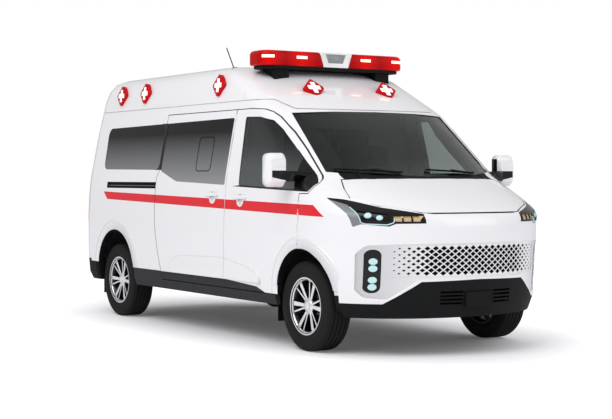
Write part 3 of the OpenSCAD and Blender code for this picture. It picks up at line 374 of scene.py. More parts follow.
def cutPlanes(bm, planes):
    for place, direction in planes:
        bmesh.ops.bisect_plane(bm, geom=bm.verts[:] + bm.edges[:] + bm.faces[:], dist=cutTolerance,
                               plane_co=place, plane_no=direction)


# Bar of round section along a line of points
def tubeAlong(bm, points, radius, closed=False, segments=8):
    loops = []
    count = len(points)
    for i, point in enumerate(points):
        ahead = points[(i + 1) % count] if closed or i < count - 1 else point
        behind = points[i - 1] if closed or i > 0 else point
        turn = facingTurn(ahead - behind)
        ring = bmesh.ops.create_circle(bm, segments=segments, radius=radius,
                                       matrix=Matrix.Translation(point) @ turn, cap_ends=False)
        loops.append([e for e in bm.edges if all(v in set(ring["verts"]) for v in e.verts)])
    pairs = zip(loops, loops[1:] + loops[:1]) if closed else zip(loops, loops[1:])
    for first, second in pairs:
        bmesh.ops.bridge_loops(bm, edges=first + second)
    if not closed:
        bmesh.ops.contextual_create(bm, geom=loops[0])
        bmesh.ops.contextual_create(bm, geom=loops[-1])
    bmesh.ops.recalc_face_normals(bm, faces=bm.faces)


def addBlock(bm, low, high, bevel=0.0, segments=2):
    size = [b - a for a, b in zip(low, high)]
    centre = [(a + b) / 2 for a, b in zip(low, high)]
    stand = Matrix.Translation(centre) @ Matrix.Diagonal((*size, 1))
    made = bmesh.ops.create_cube(bm, size=1.0, matrix=stand)
    if bevel:
        edges = list(dict.fromkeys(e for v in made["verts"] for e in v.link_edges))
        bmesh.ops.bevel(bm, geom=edges, offset=bevel, segments=segments, profile=0.5, affect="EDGES",
                        material=-1)


# A closed outline turned once round an axis
def spinOutline(bm, corners, centre, axis, steps):
    verts = [bm.verts.new(corner) for corner in corners]
    edges = [bm.edges.new(pair) for pair in zip(verts, verts[1:] + verts[:1])]
    bmesh.ops.spin(bm, geom=verts + edges, cent=centre, axis=axis, angle=math.tau, steps=steps,
                   use_merge=True)
    bmesh.ops.remove_doubles(bm, verts=bm.verts, dist=mergeDistance)
    bmesh.ops.recalc_face_normals(bm, faces=bm.faces)


# Side panels: white enamel with the stripe, the foot painted a lighter grey for the light on it, the black
# mirror corner, and the seals with painted shade on the walls of the openings

sideMarks = {
    # places along and up from the front axle's foot, in mm
    "stripe": [(-3624, 1195), (170, 1124), (308, 1037), (-3528, 1122)],
    "foot": [(-1195, 490), (-654, 458), (-505, 412), (-300, 407), (-300, 300), (-1195, 300)],
    "footFar": [(-2860, 490), (-1150, 490), (-1150, 300), (-2860, 300)],
    "corner": [(-980, 1255), (66, 1222), (92, 1290), (66, 1314), (-262, 1562), (-420, 1500), (-980, 1400)],
    "windowBand": [(-2546, 1398), (-2418, 1398), (-2418, 1820), (-2546, 1820)],
    "wingFoot": 455,
    "rearFoot": [(-4200, 508), (-3600, 508), (-3600, 200), (-4200, 200)],
    "railSlot": [(-3560, 1226), (-2430, 1226), (-2430, 1292), (-3560, 1292)],
    # centre and radius of the wheel arches
    "arches": [(30, 432, 358), (-3326, 438, 396)],
    # how squarely a face looks out of the skin, and up
    "edgeOn": 0.6, "outward": 0.8, "upright": 0.8,
    # depths below the skin: seal lands, walls of openings, vinyl film, and what is inside
    "sealDepth": (6.0, 18.0), "reveal": 3, "filmDepth": 7, "inside": 18,
    # where those rules hold: heights, rearmost place and distance from the middle; reach round an arch
    "sealAbove": 1210, "insideBelow": 1900, "sealUntil": -3900, "sideFrom": 500, "archReach": 12,
}


def sideFinish(node, face):
    marks = sideMarks
    front, wing, frameSide = (node.startswith(start) for start in ("front_door", "front_wing", "side_frame"))
    slide = node == "sliding_door"
    centre = face.calc_center_median()
    x, z = (centre.x - frontAxle) / mm, centre.z / mm
    direction, depth = skinAt(centre)
    depth /= mm
    facing = face.normal.dot(direction)
    upright = face.normal.z < marks["upright"]
    deep = depth > marks["inside"]
    sealFrom, sealTo = marks["sealDepth"]
    inArch = any(math.hypot(x - ax, z - az) < r + marks["archReach"] for ax, az, r in marks["arches"])
    framed = frameSide or front and z > marks["sealAbove"]

    def within(outline):
        return inOutline(marks[outline], x, z)

    if inArch and facing < marks["edgeOn"]:
        return "seal"
    if facing < -marks["edgeOn"] or front and deep:
        return "cab"
    # walls of the openings and what lies deep inside take the near-black seal: partly rubber seal, partly
    # painted shade that darkens the gaps
    if frameSide and upright and deep and z < marks["insideBelow"]:
        return "seal"
    if facing < marks["edgeOn"] and depth > marks["reveal"] and framed:
        return "seal"
    if (facing > marks["outward"] and upright and sealFrom < depth < sealTo
            and z > marks["sealAbove"] and x > marks["sealUntil"]):
        return "seal"
    if (frameSide or slide) and within("windowBand"):
        return "gloss"
    if frameSide and depth > marks["reveal"] and within("railSlot"):
        return "seal"
    if front and within("corner"):
        return "gloss"
    # door feet take the sill finish, painted lighter for the light on them
    if front and within("foot") or slide and within("footFar"):
        return "sill"
    if frameSide and within("rearFoot") or wing and z < marks["wingFoot"]:
        return "black"
    onSide = abs(centre.y) > marks["sideFrom"] * mm
    if facing > marks["outward"] and onSide and depth < marks["filmDepth"] and within("stripe"):
        return "stripe"
    return "white"


# Flares: in a band round each arch the skin leans in towards the wheel, behind a narrow raised edge.
flareMarks = {
    # widths of the band and its edge, how far the faces reach under the arch, and the cuts, in mm
    "wide": 95, "edge": 12, "under": 10, "rings": (95, 83, 42), "sectors": 28,
    # lean in degrees, and how much of it fades outwards
    "lean": 38, "fade": 0.6,
}


def cutFaces(bm, faces, place, direction):
    corners = list(dict.fromkeys(v for face in faces for v in face.verts))
    borders = list(dict.fromkeys(e for face in faces for e in face.edges))
    bmesh.ops.bisect_plane(bm, geom=corners + borders + faces, dist=cutTolerance,
                           plane_co=place, plane_no=direction)


# Faces that reach into a square round a place on the side
def facesNear(bm, centre, reach):
    def overlaps(face, axis):
        along = [v.co[axis] for v in face.verts]
        return min(along) < centre[axis] + reach and max(along) > centre[axis] - reach
    return [face for face in bm.faces if overlaps(face, 0) and overlaps(face, 2)]


def cutFlares(bm):
    half = math.pi / flareMarks["sectors"]
    for ax, az, r in sideMarks["arches"]:
        centre = Vector((fromAxle(ax), 0, az * mm))
        reach = (r + flareMarks["wide"]) * mm
        for k in range(flareMarks["sectors"] // 2):
            turn = 2 * half * k
            cutFaces(bm, facesNear(bm, centre, reach), centre, Vector((-math.sin(turn), 0, math.cos(turn))))
        for ring in flareMarks["rings"]:
            sectors = {}
            for face in facesNear(bm, centre, reach):
                away = face.calc_center_median() - centre
                sectors.setdefault(int(math.atan2(away.z, away.x) % math.tau / (2 * half)), []).append(face)
            for k, faces in sectors.items():
                turn = half * (2 * k + 1)
                out = Vector((math.cos(turn), 0, math.sin(turn)))
                cutFaces(bm, faces, centre + out * (r + ring) * mm * math.cos(half), out)


def leanAtArch(faceCentre, point, direction):
    slope = flareMarks["wide"] - flareMarks["edge"]
    for ax, az, r in sideMarks["arches"]:
        centre = Vector((fromAxle(ax), 0, az * mm))
        inward = Vector((centre.x - point.x, 0, centre.z - point.z))
        faceReach = math.hypot(faceCentre.x - centre.x, faceCentre.z - centre.z) / mm - r
        if slope < faceReach < flareMarks["wide"]:
            return leaned(direction, inward.normalized(), -flareMarks["lean"])
        if -flareMarks["under"] < faceReach <= slope:
            fade = flareMarks["fade"] * clamped((inward.length / mm - r) / slope)
            return leaned(direction, inward.normalized(), flareMarks["lean"] * (1 - fade))
    return direction


# Blister of the doors above the sill: its upper edge along and up, in mm, catches the light.
blister = {
    "edge": [(-2220, 504), (-2145, 597), (-1975, 645), (-1246, 662), (-826, 611), (-664, 569), (-585, 474)],
    "drop": 110, "lean": 17, "crease": 14, "creaseLean": 32,
}


def blisterPlanes():
    planes = []
    for drop in (0, blister["drop"], -blister["crease"]):
        planes += sidePlanes([(x, z - drop) for x, z in blister["edge"]], closed=False)
    return planes + [(Vector((fromAxle(x), 0, 0)), Vector((1, 0, 0))) for x, z in blister["edge"]]


def leanOnSide(faceCentre, point, direction):
    up = Vector((0, 0, 1))
    x, z = (faceCentre.x - frontAxle) / mm, faceCentre.z / mm
    for (x0, z0), (x1, z1) in zip(blister["edge"], blister["edge"][1:]):
        if x0 < x < x1:
            rise = (z1 - z0) / (x1 - x0)
            faceDrop = z0 + rise * (x - x0) - z
            drop = z0 + rise * ((point.x - frontAxle) / mm - x0) - point.z / mm
            if 0 < faceDrop < blister["drop"]:
                return leaned(direction, up, blister["lean"] * clamped(1 - drop / blister["drop"]))
            if -blister["crease"] < faceDrop < 0:
                return leaned(direction, up, -blister["creaseLean"] * clamped(1 + drop / blister["crease"]))
    return leanAtArch(faceCentre, point, direction)


# The panel is first cut along the edges that its finishes and leans meet at.
def sidePanel(node):
    names = ["white", "stripe", "sill", "gloss", "seal", "cab", "black"]
    marks = sideMarks
    planes = sidePlanes(marks["stripe"])
    if node.startswith("front_door"):
        planes += sidePlanes(marks["corner"][:5], closed=False) + sidePlanes(marks["foot"][:4], closed=False)
    if node.startswith("front_wing"):
        planes.append((Vector((0, 0, marks["wingFoot"] * mm)), Vector((0, 0, 1))))
    else:
        planes += blisterPlanes()
    if node == "sliding_door":
        planes += sidePlanes(marks["footFar"][:2], closed=False) + sidePlanes(marks["windowBand"])
    if node.startswith("side_frame"):
        planes += sidePlanes(marks["rearFoot"][:2], closed=False) + sidePlanes(marks["windowBand"])
    bm = mergedCopy(node)
    cutPlanes(bm, planes)
    cutFlares(bm)
    paintFaces(bm, names, lambda face: sideFinish(node, face))
    piece = makeObject(bm, "skin_" + node, names, node, replaces=True)
    followSkin(piece, leanOnSide)


for node in ["side_frame_right", "side_frame_left", "front_wing_right", "front_wing_left",
             "front_door_right", "front_door_left", "sliding_door"]:
    sidePanel(node)
print("side panels done")


# Other panels and glass that lie on the skin

plainPanels = {
    "sills": "sill", "roof_panel": "white", "roof_cap": "white", "front_fascia": "white",
    "front_bumper": "black", "grille": "white", "cowl": "black", "windscreen": "clearGlass",
    "side_glass": "darkGlass", "rear_bumper": "black", "tail_lamps": "redLens", "bonnet": "white",
    "front_door_glass_right": "doorGlass", "front_door_glass_left": "doorGlass",
    "rear_door_right": "white", "rear_door_left": "white",
    "rear_glass_right": "darkGlass", "rear_glass_left": "darkGlass",
}

# the sunk part of the fascia beside the grille turns down towards the bumper
recessMarks = {"depth": 6, "from": 330, "to": 780, "lean": 46}


def leanInRecess(faceCentre, point, direction):
    if skinAt(faceCentre)[1] < recessMarks["depth"] * mm:
        return direction
    share = (abs(point.y) / mm - recessMarks["from"]) / (recessMarks["to"] - recessMarks["from"])
    return leaned(direction, Vector((0, 0, -1)), recessMarks["lean"] * clamped(share))


for node, key in plainPanels.items():
    piece = makeObject(mergedCopy(node), "skin_" + node, [key], node, replaces=True)
    followSkin(piece, leanInRecess if node in ("front_fascia", "grille") else None)
print("plain panels done:", len(plainPanels))


# Lamps of the nose

headlampMarks = {
    # places across and up, in mm: the black band lies above its line, the silver wedge between the other two
    "band": [(990, 1206), (870, 1128), (682, 1064), (440, 1046)],
    "outer": [(936, 1190), (882, 957)], "inner": [(881, 1185), (840, 957)], "tip": 930,
    "pocketDepth": 5, "amberInside": 664, "frontFacing": 0.2,
    # lenses across and up with their radius, how they are squashed, and their depth below the skin
    "projectors": [(806, 1052, 25), (745, 1036, 22)], "squash": (1.15, 0.85, 0.35), "sunk": 11,
    "ringRadius": 3, "ringPoints": 24,
    "strip": [(870, 1112), (847, 1000), (828, 990), (704, 984), (668, 1000), (660, 1040)],
    "stripRadius": 4, "stripSteps": 4, "stripSunk": 2,
}


def frontPlanes(points):
    planes = []
    for (y0, z0), (y1, z1) in zip(points, points[1:]):
        for side in sides.values():
            planes.append((Vector((0, side * y0 * mm, z0 * mm)),
                           Vector((0, z1 - z0, side * (y0 - y1))).normalized()))
    return planes


def bandHeight(y):
    points = headlampMarks["band"]
    for start, end in zip(points, points[1:]):
        if y > end[0] or end == points[-1]:
            return start[1] + (end[1] - start[1]) * (y - start[0]) / (end[0] - start[0])


def beyondLine(points, y, z):
    (y0, z0), (y1, z1) = points
    return y > y0 + (y1 - y0) * (z - z0) / (z1 - z0)


def headlampFinish(face):
    marks = headlampMarks
    centre = face.calc_center_median()
    direction, depth = skinAt(centre)
    y, z = abs(centre.y) / mm, centre.z / mm
    underBand = z < bandHeight(y)
    if face.normal.dot(direction) < marks["frontFacing"]:
        return "gloss"
    if y > marks["tip"] or beyondLine(marks["outer"], y, z):
        return "white"
    if underBand and beyondLine(marks["inner"], y, z):
        return "silver"
    if underBand and depth > marks["pocketDepth"] * mm and y < marks["amberInside"]:
        return "amber"
    return "gloss"


def headlampPanel():
    marks = headlampMarks
    names = ["silver", "gloss", "amber", "white"]
    bm = mergedCopy("headlamps")
    tips = [(Vector((0, side * marks["tip"] * mm, 0)), Vector((0, 1, 0))) for side in sides.values()]
    cutPlanes(bm, [plane for key in ("band", "outer", "inner") for plane in frontPlanes(marks[key])] + tips)
    paintFaces(bm, names, headlampFinish)
    piece = makeObject(bm, "skin_headlamps", names, "headlamps", replaces=True)
    followSkin(piece)


def headlampLenses():
    marks = headlampMarks
    wide, tall, deep = marks["squash"]
    steps = marks["stripSteps"]
    lenses, rings, strips = bmesh.new(), bmesh.new(), bmesh.new()
    for side in sides.values():
        for y, z, radius in marks["projectors"]:
            place = Vector((noseX(y * mm, z * mm) - marks["sunk"] * mm, side * y * mm, z * mm))
            stand = Matrix.Translation(place) @ facingTurn(skinAt(place)[0])
            squashed = stand @ Matrix.Diagonal((wide, tall, deep, 1))
            bmesh.ops.create_uvsphere(lenses, u_segments=24, v_segments=12, radius=radius * mm,
                                      matrix=squashed)
            angles = [math.tau * i / marks["ringPoints"] for i in range(marks["ringPoints"])]
            loop = [squashed @ (Vector((math.cos(a), math.sin(a), 0)) * radius * mm) for a in angles]
            tubeAlong(rings, loop, marks["ringRadius"] * mm, closed=True, segments=6)
        points = []
        for (y0, z0), (y1, z1) in zip(marks["strip"], marks["strip"][1:]):
            for i in range(steps):
                y, z = (y0 + (y1 - y0) * i / steps) * mm, (z0 + (z1 - z0) * i / steps) * mm
                points.append(Vector((noseX(y, z) - marks["stripSunk"] * mm, side * y, z)))
        tubeAlong(strips, points, marks["stripRadius"] * mm)
    makeObject(lenses, "projector_lenses", ["projector"], "headlamps", smooth=60)
    makeObject(rings, "projector_rings", ["silver"], "headlamps", smooth=60)
    makeObject(strips, "day_strips", ["dayLamp"], "headlamps")


headlampPanel()
headlampLenses()

# centre of the lenses across and up, in mm
dayLampMarks = {"across": 774, "up": [525, 577, 662, 714], "radius": 24.5, "frontFacing": 0.2}


def dayLampPanel():
    bm = mergedCopy("driving_lamps")
    for face in bm.faces:
        centre = face.calc_center_median()
        reach = min(math.hypot(abs(centre.y) / mm - dayLampMarks["across"], centre.z / mm - up)
                    for up in dayLampMarks["up"])
        if reach < dayLampMarks["radius"] and face.normal.x > dayLampMarks["frontFacing"]:
            face.material_index = 1
    piece = makeObject(bm, "skin_driving_lamps", ["gloss", "dayLamp"], "driving_lamps", replaces=True)
    followSkin(piece)


dayLampPanel()

# dark screens behind the grille and behind the bumper's slots: place along, half width, foot and top
grilleShade = {"screens": [(680, 690, 588, 848), (800, 345, 382, 500)], "thick": 4}


def grilleBack():
    bm = bmesh.new()
    for x, halfWidth, low, high in grilleShade["screens"]:
        addBlock(bm, (fromAxle(x), -halfWidth * mm, low * mm),
                 (fromAxle(x + grilleShade["thick"]), halfWidth * mm, high * mm))
    makeObject(bm, "grille_shade", ["seal"], "front_bumper")


grilleBack()
print("nose lamps done")


# Wheels

tyreShape = {
    "radius": 346, "groove": 9, "grooveDepth": 9, "grooveSlope": 2,
    "grooves": [-54, -18, 18, 54], "treadHalf": 84, "shoulderDrop": 1.5, "steps": 96,
    # radius and distance out from the middle of the tyre along one sidewall, from the tread to the bead
    "wall": [(341, 92), (332, 99), (318, 103.5), (314, 105), (309, 104.5), (290, 107.5), (272, 107),
             (268, 108.5), (262, 108.5), (258, 106.5), (244, 101), (232, 97), (224, 92), (223, 85)],
}


def tyreProfile():
    t = tyreShape
    r, floor, half = t["radius"], t["radius"] - t["grooveDepth"], t["groove"] / 2
    inner = half - t["grooveSlope"]
    shoulder = (r - t["shoulderDrop"], t["treadHalf"])
    tread = []
    for y in t["grooves"]:
        tread += [(r, y - half), (floor, y - inner), (floor, y + inner), (r, y + half)]
    halfWall = [shoulder] + t["wall"]
    return [(radius, -out) for radius, out in reversed(halfWall)] + tread + halfWall


def makeTyre(end, sideName):
    node = "tyre_%s_%s" % (end, sideName)
    centre = middle(node)
    bm = bmesh.new()
    outline = [centre + Vector((0, y * mm, r * mm)) for r, y in tyreProfile()]
    spinOutline(bm, outline, centre, (0, 1, 0), tyreShape["steps"])
    makeObject(bm, "rubber_" + node, ["tyre"], node, replaces=True)


wheelFace = {
    # distances out from the middle of the tyre, radii and least facing of the bright faces, in mm
    "faceFrom": 52, "faceFacing": 0.55, "lipFrom": 86, "lipRadius": 200, "discRadius": 151, "discFace": 13,
    "capRadius": 33, "capChamfer": 4, "capOut": 80, "capIn": 70,
    "nuts": 6, "nutTurn": 0.35, "nutCircle": 88, "nutRadius": 10, "nutOut": 32, "nutIn": 11,
}


def makeRim(end, sideName):
    node = "rim_%s_%s" % (end, sideName)
    side = sides[sideName]
    centre = Vector((middle(node).x, side * halfTrack, axleHeight))
    bm = mergedCopy(node)
    for face in bm.faces:
        place = (face.calc_center_median() - centre) / mm
        out = place.y * side
        radius = math.hypot(place.x, place.z)
        facing = face.normal.y * side
        onLip = radius > wheelFace["lipRadius"] and out > wheelFace["lipFrom"]
        if facing > wheelFace["faceFacing"] and (out > wheelFace["faceFrom"] or onLip):
            face.material_index = 1
        elif out < wheelFace["discFace"] and radius < wheelFace["discRadius"]:
            face.material_index = 2
    makeObject(bm, "wheel_" + node, ["pocket", "alloy", "disc"], node, replaces=True)
    bm = bmesh.new()
    along = Matrix.Rotation(-side * math.pi / 2, 4, "X")
    depth = (wheelFace["capOut"] - wheelFace["capIn"]) * mm
    out = Vector((0, side * (wheelFace["capOut"] * mm - depth / 2), 0))
    bmesh.ops.create_cone(bm, cap_ends=True, segments=32, radius1=wheelFace["capRadius"] * mm,
                          radius2=(wheelFace["capRadius"] - wheelFace["capChamfer"]) * mm, depth=depth,
                          matrix=Matrix.Translation(centre + out) @ along)
    depth = (wheelFace["nutOut"] - wheelFace["nutIn"]) * mm
    for i in range(wheelFace["nuts"]):
        angle = math.tau * (i + wheelFace["nutTurn"]) / wheelFace["nuts"]
        place = centre + Vector((math.cos(angle) * wheelFace["nutCircle"] * mm,
                                 side * (wheelFace["nutOut"] * mm - depth / 2),
                                 math.sin(angle) * wheelFace["nutCircle"] * mm))
        bmesh.ops.create_cone(bm, cap_ends=True, segments=6, radius1=wheelFace["nutRadius"] * mm,
                              radius2=wheelFace["nutRadius"] * mm, depth=depth,
                              matrix=Matrix.Translation(place) @ along)
    makeObject(bm, "cap_" + node, ["alloy"], node)


for end in ("front", "rear"):
    for sideName in sides:
        makeTyre(end, sideName)
        makeRim(end, sideName)
print("wheels done")


# Roof lights

barMarks = {
    # radii of the lens: corner in plan, upper edge and lower edge, in mm
    "corner": 108, "crown": 38, "chin": 16,
    # joint with the speaker: distance from the middle at the foot and at the top
    "joint": (128, 169),
    # light spots: distance from the middle and turn round the corner in degrees, half size, height
    "spots": [(-622, -28), (-347, 0), (305, 0), (622, 6)], "spotHalf": (52, 11), "spotUp": 72,
    "spotDepth": 8, "proud": 1.0,
    # sunk front of the speaker: foot, rise and half widths, and the slats in it
    "horn": (36, 76, 76, 104),
    "slats": 6, "slatStart": 0.35, "slatTall": 7, "slatDepth": (12, 5), "slatGap": 2,
}


def barBody(low, high):
    bm = bmesh.new()
    addBlock(bm, low, high)
    rounds = [("corner", 12, lambda e: abs(e.verts[0].co.z - e.verts[1].co.z) > mergeDistance),
              ("crown", 6, lambda e: all(v.co.z > high.z - mergeDistance for v in e.verts)),
              ("chin", 3, lambda e: all(v.co.z < low.z + mergeDistance for v in e.verts))]
    for key, segments, chosen in rounds:
        bmesh.ops.bevel(bm, geom=[e for e in bm.edges if chosen(e)], offset=barMarks[key] * mm,
                        segments=segments, profile=0.5, affect="EDGES", material=-1)
    return bm


def lightBarLenses():
    low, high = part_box("light_bar_lenses")
    foot, top = (d * mm for d in barMarks["joint"])
    for sideName, side in sides.items():
        bm = barBody(low, high)
        out = Vector((0, side * (high.z - low.z), foot - top)).normalized()
        cut = bmesh.ops.bisect_plane(bm, geom=bm.verts[:] + bm.edges[:] + bm.faces[:], dist=cutTolerance,
                                     clear_inner=True, plane_co=(0, side * foot, low.z), plane_no=out)
        rim = [e for e in cut["geom_cut"] if isinstance(e, bmesh.types.BMEdge)]
        bmesh.ops.holes_fill(bm, edges=rim, sides=0)
        makeObject(bm, "lens_light_bar_" + sideName, ["barLens"], "light_bar_lenses", replaces=side < 0,
                   smooth=50)
    bm = bmesh.new()
    corner = barMarks["corner"] * mm
    halfWide, halfTall = (h * mm for h in barMarks["spotHalf"])
    depth = barMarks["spotDepth"] * mm
    for y, turn in barMarks["spots"]:
        turned = Matrix.Rotation(math.radians(turn), 4, "Z")
        hub = Vector((high.x - corner, y * mm, low.z + barMarks["spotUp"] * mm))
        place = hub + turned @ Vector((corner + barMarks["proud"] * mm - depth / 2, 0, 0))
        stand = Matrix.Translation(place) @ turned @ Matrix.Diagonal((depth, 2 * halfWide, 2 * halfTall, 1))
        bmesh.ops.create_cube(bm, size=1.0, matrix=stand)
    makeObject(bm, "light_bar_spots", ["lampSpot"], "light_bar_lenses")


def lightBarSpeaker():
    node = "light_bar_speaker"
    makeObject(mergedCopy(node), "housing_light_bar", ["whitePlastic"], node, replaces=True)
    low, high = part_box(node)
    hornFoot, rise, narrow, wide = barMarks["horn"]
    back, front = (high.x - d * mm for d in barMarks["slatDepth"])
    bm = bmesh.new()
    for i in range(barMarks["slats"]):
        up = rise * (i + barMarks["slatStart"]) / barMarks["slats"]
        half = (narrow + (wide - narrow) * up / rise - barMarks["slatGap"]) * mm
        foot = low.z + (hornFoot + up) * mm
        addBlock(bm, (back, -half, foot), (front, half, foot + barMarks["slatTall"] * mm))
    makeObject(bm, "horn_slats", ["slats"], node)


lightBarLenses()
lightBarSpeaker()

crossMarks = {
    # centre of each lamp's face from the front axle, the middle and the ground, in mm, then heading and tilt
    "lamps": [(x, side * 865, 2120, side * 90, 8) for x in (-1546, -2981, -3496) for side in (-1, 1)]
    + [(-795, side * 368, 2078, 0, 40) for side in (-1, 1)],
    "raised": 2,
}


def crossLamps():
    bm = mergedCopy("cross_lamps")
    lamps = []
    for x, y, z, heading, tilt in crossMarks["lamps"]:
        out = Vector((math.cos(math.radians(tilt)), 0, math.sin(math.radians(tilt))))
        turn = Matrix.Rotation(math.radians(heading), 3, "Z")
        lamps.append((Vector((fromAxle(x), y * mm, z * mm)), turn @ out))
    for face in bm.faces:
        centre = face.calc_center_median()
        place, out = min(lamps, key=lambda lamp: (lamp[0] - centre).length)
        if (centre - place).dot(out) > crossMarks["raised"] * mm:
            face.material_index = 1
    makeObject(bm, "lens_cross_lamps", ["redLens", "cross"], "cross_lamps", replaces=True)


crossLamps()
print("roof lights done")


# Mirrors: white shell, black arm and silvered glass

mirrorMarks = {
    "armInside": 1048, "armOver": 1072, "armFrom": 62, "armHeights": (1298, 1382),
    # the arm runs on across the front of the shell: top, end, and lower edge as places across and up
    "armTop": 1384, "armEnd": 1190, "armUnder": [(1190, 1332), (1060, 1306)],
    "frontFacing": 0.5, "glassFacing": 0.9, "glassInset": 2,
}


def makeMirror(sideName):
    node = "mirror_" + sideName
    side = sides[sideName]
    low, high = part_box(node)
    bm = mergedCopy(node)
    inside = mirrorMarks["armInside"] * mm
    over = mirrorMarks["armOver"] * mm
    foot, top = (h * mm for h in mirrorMarks["armHeights"])
    glassFrom = low.x + mirrorMarks["glassInset"] * mm
    across = [inside, over, mirrorMarks["armEnd"] * mm]
    planes = [(Vector((0, side * y, 0)), Vector((0, 1, 0))) for y in across]
    planes.append((Vector((0, 0, mirrorMarks["armTop"] * mm)), Vector((0, 0, 1))))
    cutPlanes(bm, planes + frontPlanes(mirrorMarks["armUnder"]))
    (endY, endZ), (startY, startZ) = mirrorMarks["armUnder"]
    for face in bm.faces:
        centre = face.calc_center_median()
        onArm = foot < centre.z < top and centre.x > low.x + mirrorMarks["armFrom"] * mm
        y, z = abs(centre.y) / mm, centre.z / mm
        under = startZ + (endZ - startZ) * (y - startY) / (endY - startY)
        underTop = y < mirrorMarks["armEnd"] and under < z < mirrorMarks["armTop"]
        onFront = face.normal.x > mirrorMarks["frontFacing"] and underTop
        if y * mm < inside or onFront or onArm and y * mm < over:
            face.material_index = 1
        elif face.normal.x < -mirrorMarks["glassFacing"] and centre.x > glassFrom:
            face.material_index = 2
    makeObject(bm, "shell_" + node, ["white", "gloss", "mirror"], node, replaces=True, smooth=50)


for sideName in sides:
    makeMirror(sideName)
print("mirrors done")


# Small fittings: handle rings, door rail, vent frame, wipers

handleRings = {
    # door that carries it, place along and up from the front axle's foot, in mm, and side
    "places": [("front_door_right", -925, 1148, -1), ("front_door_left", -925, 1148, 1),
               ("sliding_door", -1400, 1166, -1)],
    "inner": 45, "outer": 58, "proud": 1.6, "sunk": 2, "chamfer": 3, "steps": 40,
}


def makeHandleRings():
    for node, x, z, side in handleRings["places"]:
        centre = Vector((fromAxle(x), side * sideY(z * mm), z * mm))
        inner, outer, proud, sunk = (handleRings[key] * mm for key in ("inner", "outer", "proud", "sunk"))
        shoulder = outer - handleRings["chamfer"] * mm
        outline = [(inner, 0, -sunk), (inner, 0, proud), (shoulder, 0, proud), (outer, 0, -sunk)]
        bm = bmesh.new()
        spinOutline(bm, outline, (0, 0, 0), (0, 0, 1), handleRings["steps"])
        stand = Matrix.Translation(centre) @ facingTurn(skinAt(centre)[0])
        bmesh.ops.transform(bm, matrix=stand, verts=bm.verts)
        makeObject(bm, "handle_ring_" + node, ["white"], node)


makeHandleRings()

# runner of the sliding door inside its slot, in mm from the front axle
doorRail = {"from": -3520, "to": -2462, "low": 1250, "high": 1259, "depth": (4, 18), "edge": 1}


def makeDoorRail():
    bm = bmesh.new()
    outer, inner = (sideY(doorRail["low"] * mm) - d * mm for d in doorRail["depth"])
    addBlock(bm, (fromAxle(doorRail["from"]), -outer, doorRail["low"] * mm),
             (fromAxle(doorRail["to"]), -inner, doorRail["high"] * mm), bevel=doorRail["edge"] * mm)
    makeObject(bm, "door_rail", ["steel"], "side_frame_right")


makeDoorRail()

ventFrame = {"back": -1760, "front": -1497, "low": 1387, "high": 1677, "corner": 40, "steps": 4,
             "radius": 3.5, "sunk": 3}


def makeVentFrame():
    v = ventFrame
    corners = [(v["back"], v["low"], 180), (v["front"], v["low"], 270), (v["front"], v["high"], 0),
               (v["back"], v["high"], 90)]
    points = []
    for x, z, start in corners:
        cx = x + v["corner"] * (1 if x == v["back"] else -1)
        cz = z + v["corner"] * (1 if z == v["low"] else -1)
        for i in range(v["steps"] + 1):
            angle = math.radians(start + 90 * i / v["steps"])
            up = (cz + v["corner"] * math.sin(angle)) * mm
            along = fromAxle(cx + v["corner"] * math.cos(angle))
            points.append(Vector((along, v["sunk"] * mm - sideY(up), up)))
    bm = bmesh.new()
    tubeAlong(bm, points, v["radius"] * mm, closed=True, segments=6)
    makeObject(bm, "vent_frame", ["seal"], "cowl")


makeVentFrame()

wiperMarks = {
    # pivot and both ends of the blade, across and up, in mm
    "wipers": [((500, 1350), (545, 1362), (45, 1386)), ((-240, 1350), (-195, 1364), (-735, 1390))],
    "bladeRadius": 7, "bladeSteps": 8, "armRadius": 8, "armSteps": 6, "stand": 9, "armLift": (4, 0, 8),
}


# Points just above the windscreen along a line given across and up
def lineOnGlass(start, end, steps):
    points = []
    for i in range(steps + 1):
        y, z = ((a + (b - a) * i / steps) * mm for a, b in zip(start, end))
        point = Vector((noseX(y, z), y, z))
        points.append(point + skinAt(point)[0] * wiperMarks["stand"] * mm)
    return points


def makeWipers():
    bm = bmesh.new()
    lift = Vector(wiperMarks["armLift"]) * mm
    for pivot, start, end in wiperMarks["wipers"]:
        tubeAlong(bm, lineOnGlass(start, end, wiperMarks["bladeSteps"]), wiperMarks["bladeRadius"] * mm)
        middleOfBlade = [(s + e) / 2 for s, e in zip(start, end)]
        arm = [point + lift for point in lineOnGlass(pivot, middleOfBlade, wiperMarks["armSteps"])]
        tubeAlong(bm, arm, wiperMarks["armRadius"] * mm)
    makeObject(bm, "wipers", ["seal"], "cowl")


makeWipers()
print("fittings done")


# Cab seats: crowned cushions with rolled edges

seatShape = {
    # in mm, cushion: span along, width and rise; back and head: place along and up, width, height, thickness
    "cushion": ((-905, -445), 500, (770, 885)), "cushionLean": 4,
    "back": (-950, 1150, 500, 560, 110), "head": (-1050, 1505, 260, 190, 90), "backLean": 10,
    "fromSide": 250, "base": (-980, -520), "baseHalf": 180, "baseTop": 780, "baseEdge": 12,
    # how far the faces crown, and how far each axis pulls in towards the corners
    "crown": 0.06, "pull": (0.1, 0.06, 0.18), "cuts": 7,
}


def addCushion(bm, centre, size, lean):
    made = bmesh.ops.create_cube(bm, size=1.0)
    edges = list(dict.fromkeys(e for v in made["verts"] for e in v.link_edges))
    bmesh.ops.subdivide_edges(bm, edges=edges, cuts=seatShape["cuts"], use_grid_fill=True)
    fresh = [v for v in bm.verts if not v.tag]
    for v in fresh:
        v.tag = True
        place = v.co * 2
        reach = [c ** 4 for c in place]
        whole = sum(reach)
        pulled = [c * (1 - pull * (whole - own)) for c, pull, own in zip(place, seatShape["pull"], reach)]
        v.co = Vector(pulled) * (1 - seatShape["crown"] * whole) / 2
    turn = Matrix.Rotation(math.radians(lean), 4, "Y")
    stand = Matrix.Translation(centre) @ turn @ Matrix.Diagonal((*size, 1))
    bmesh.ops.transform(bm, matrix=stand, verts=fresh)


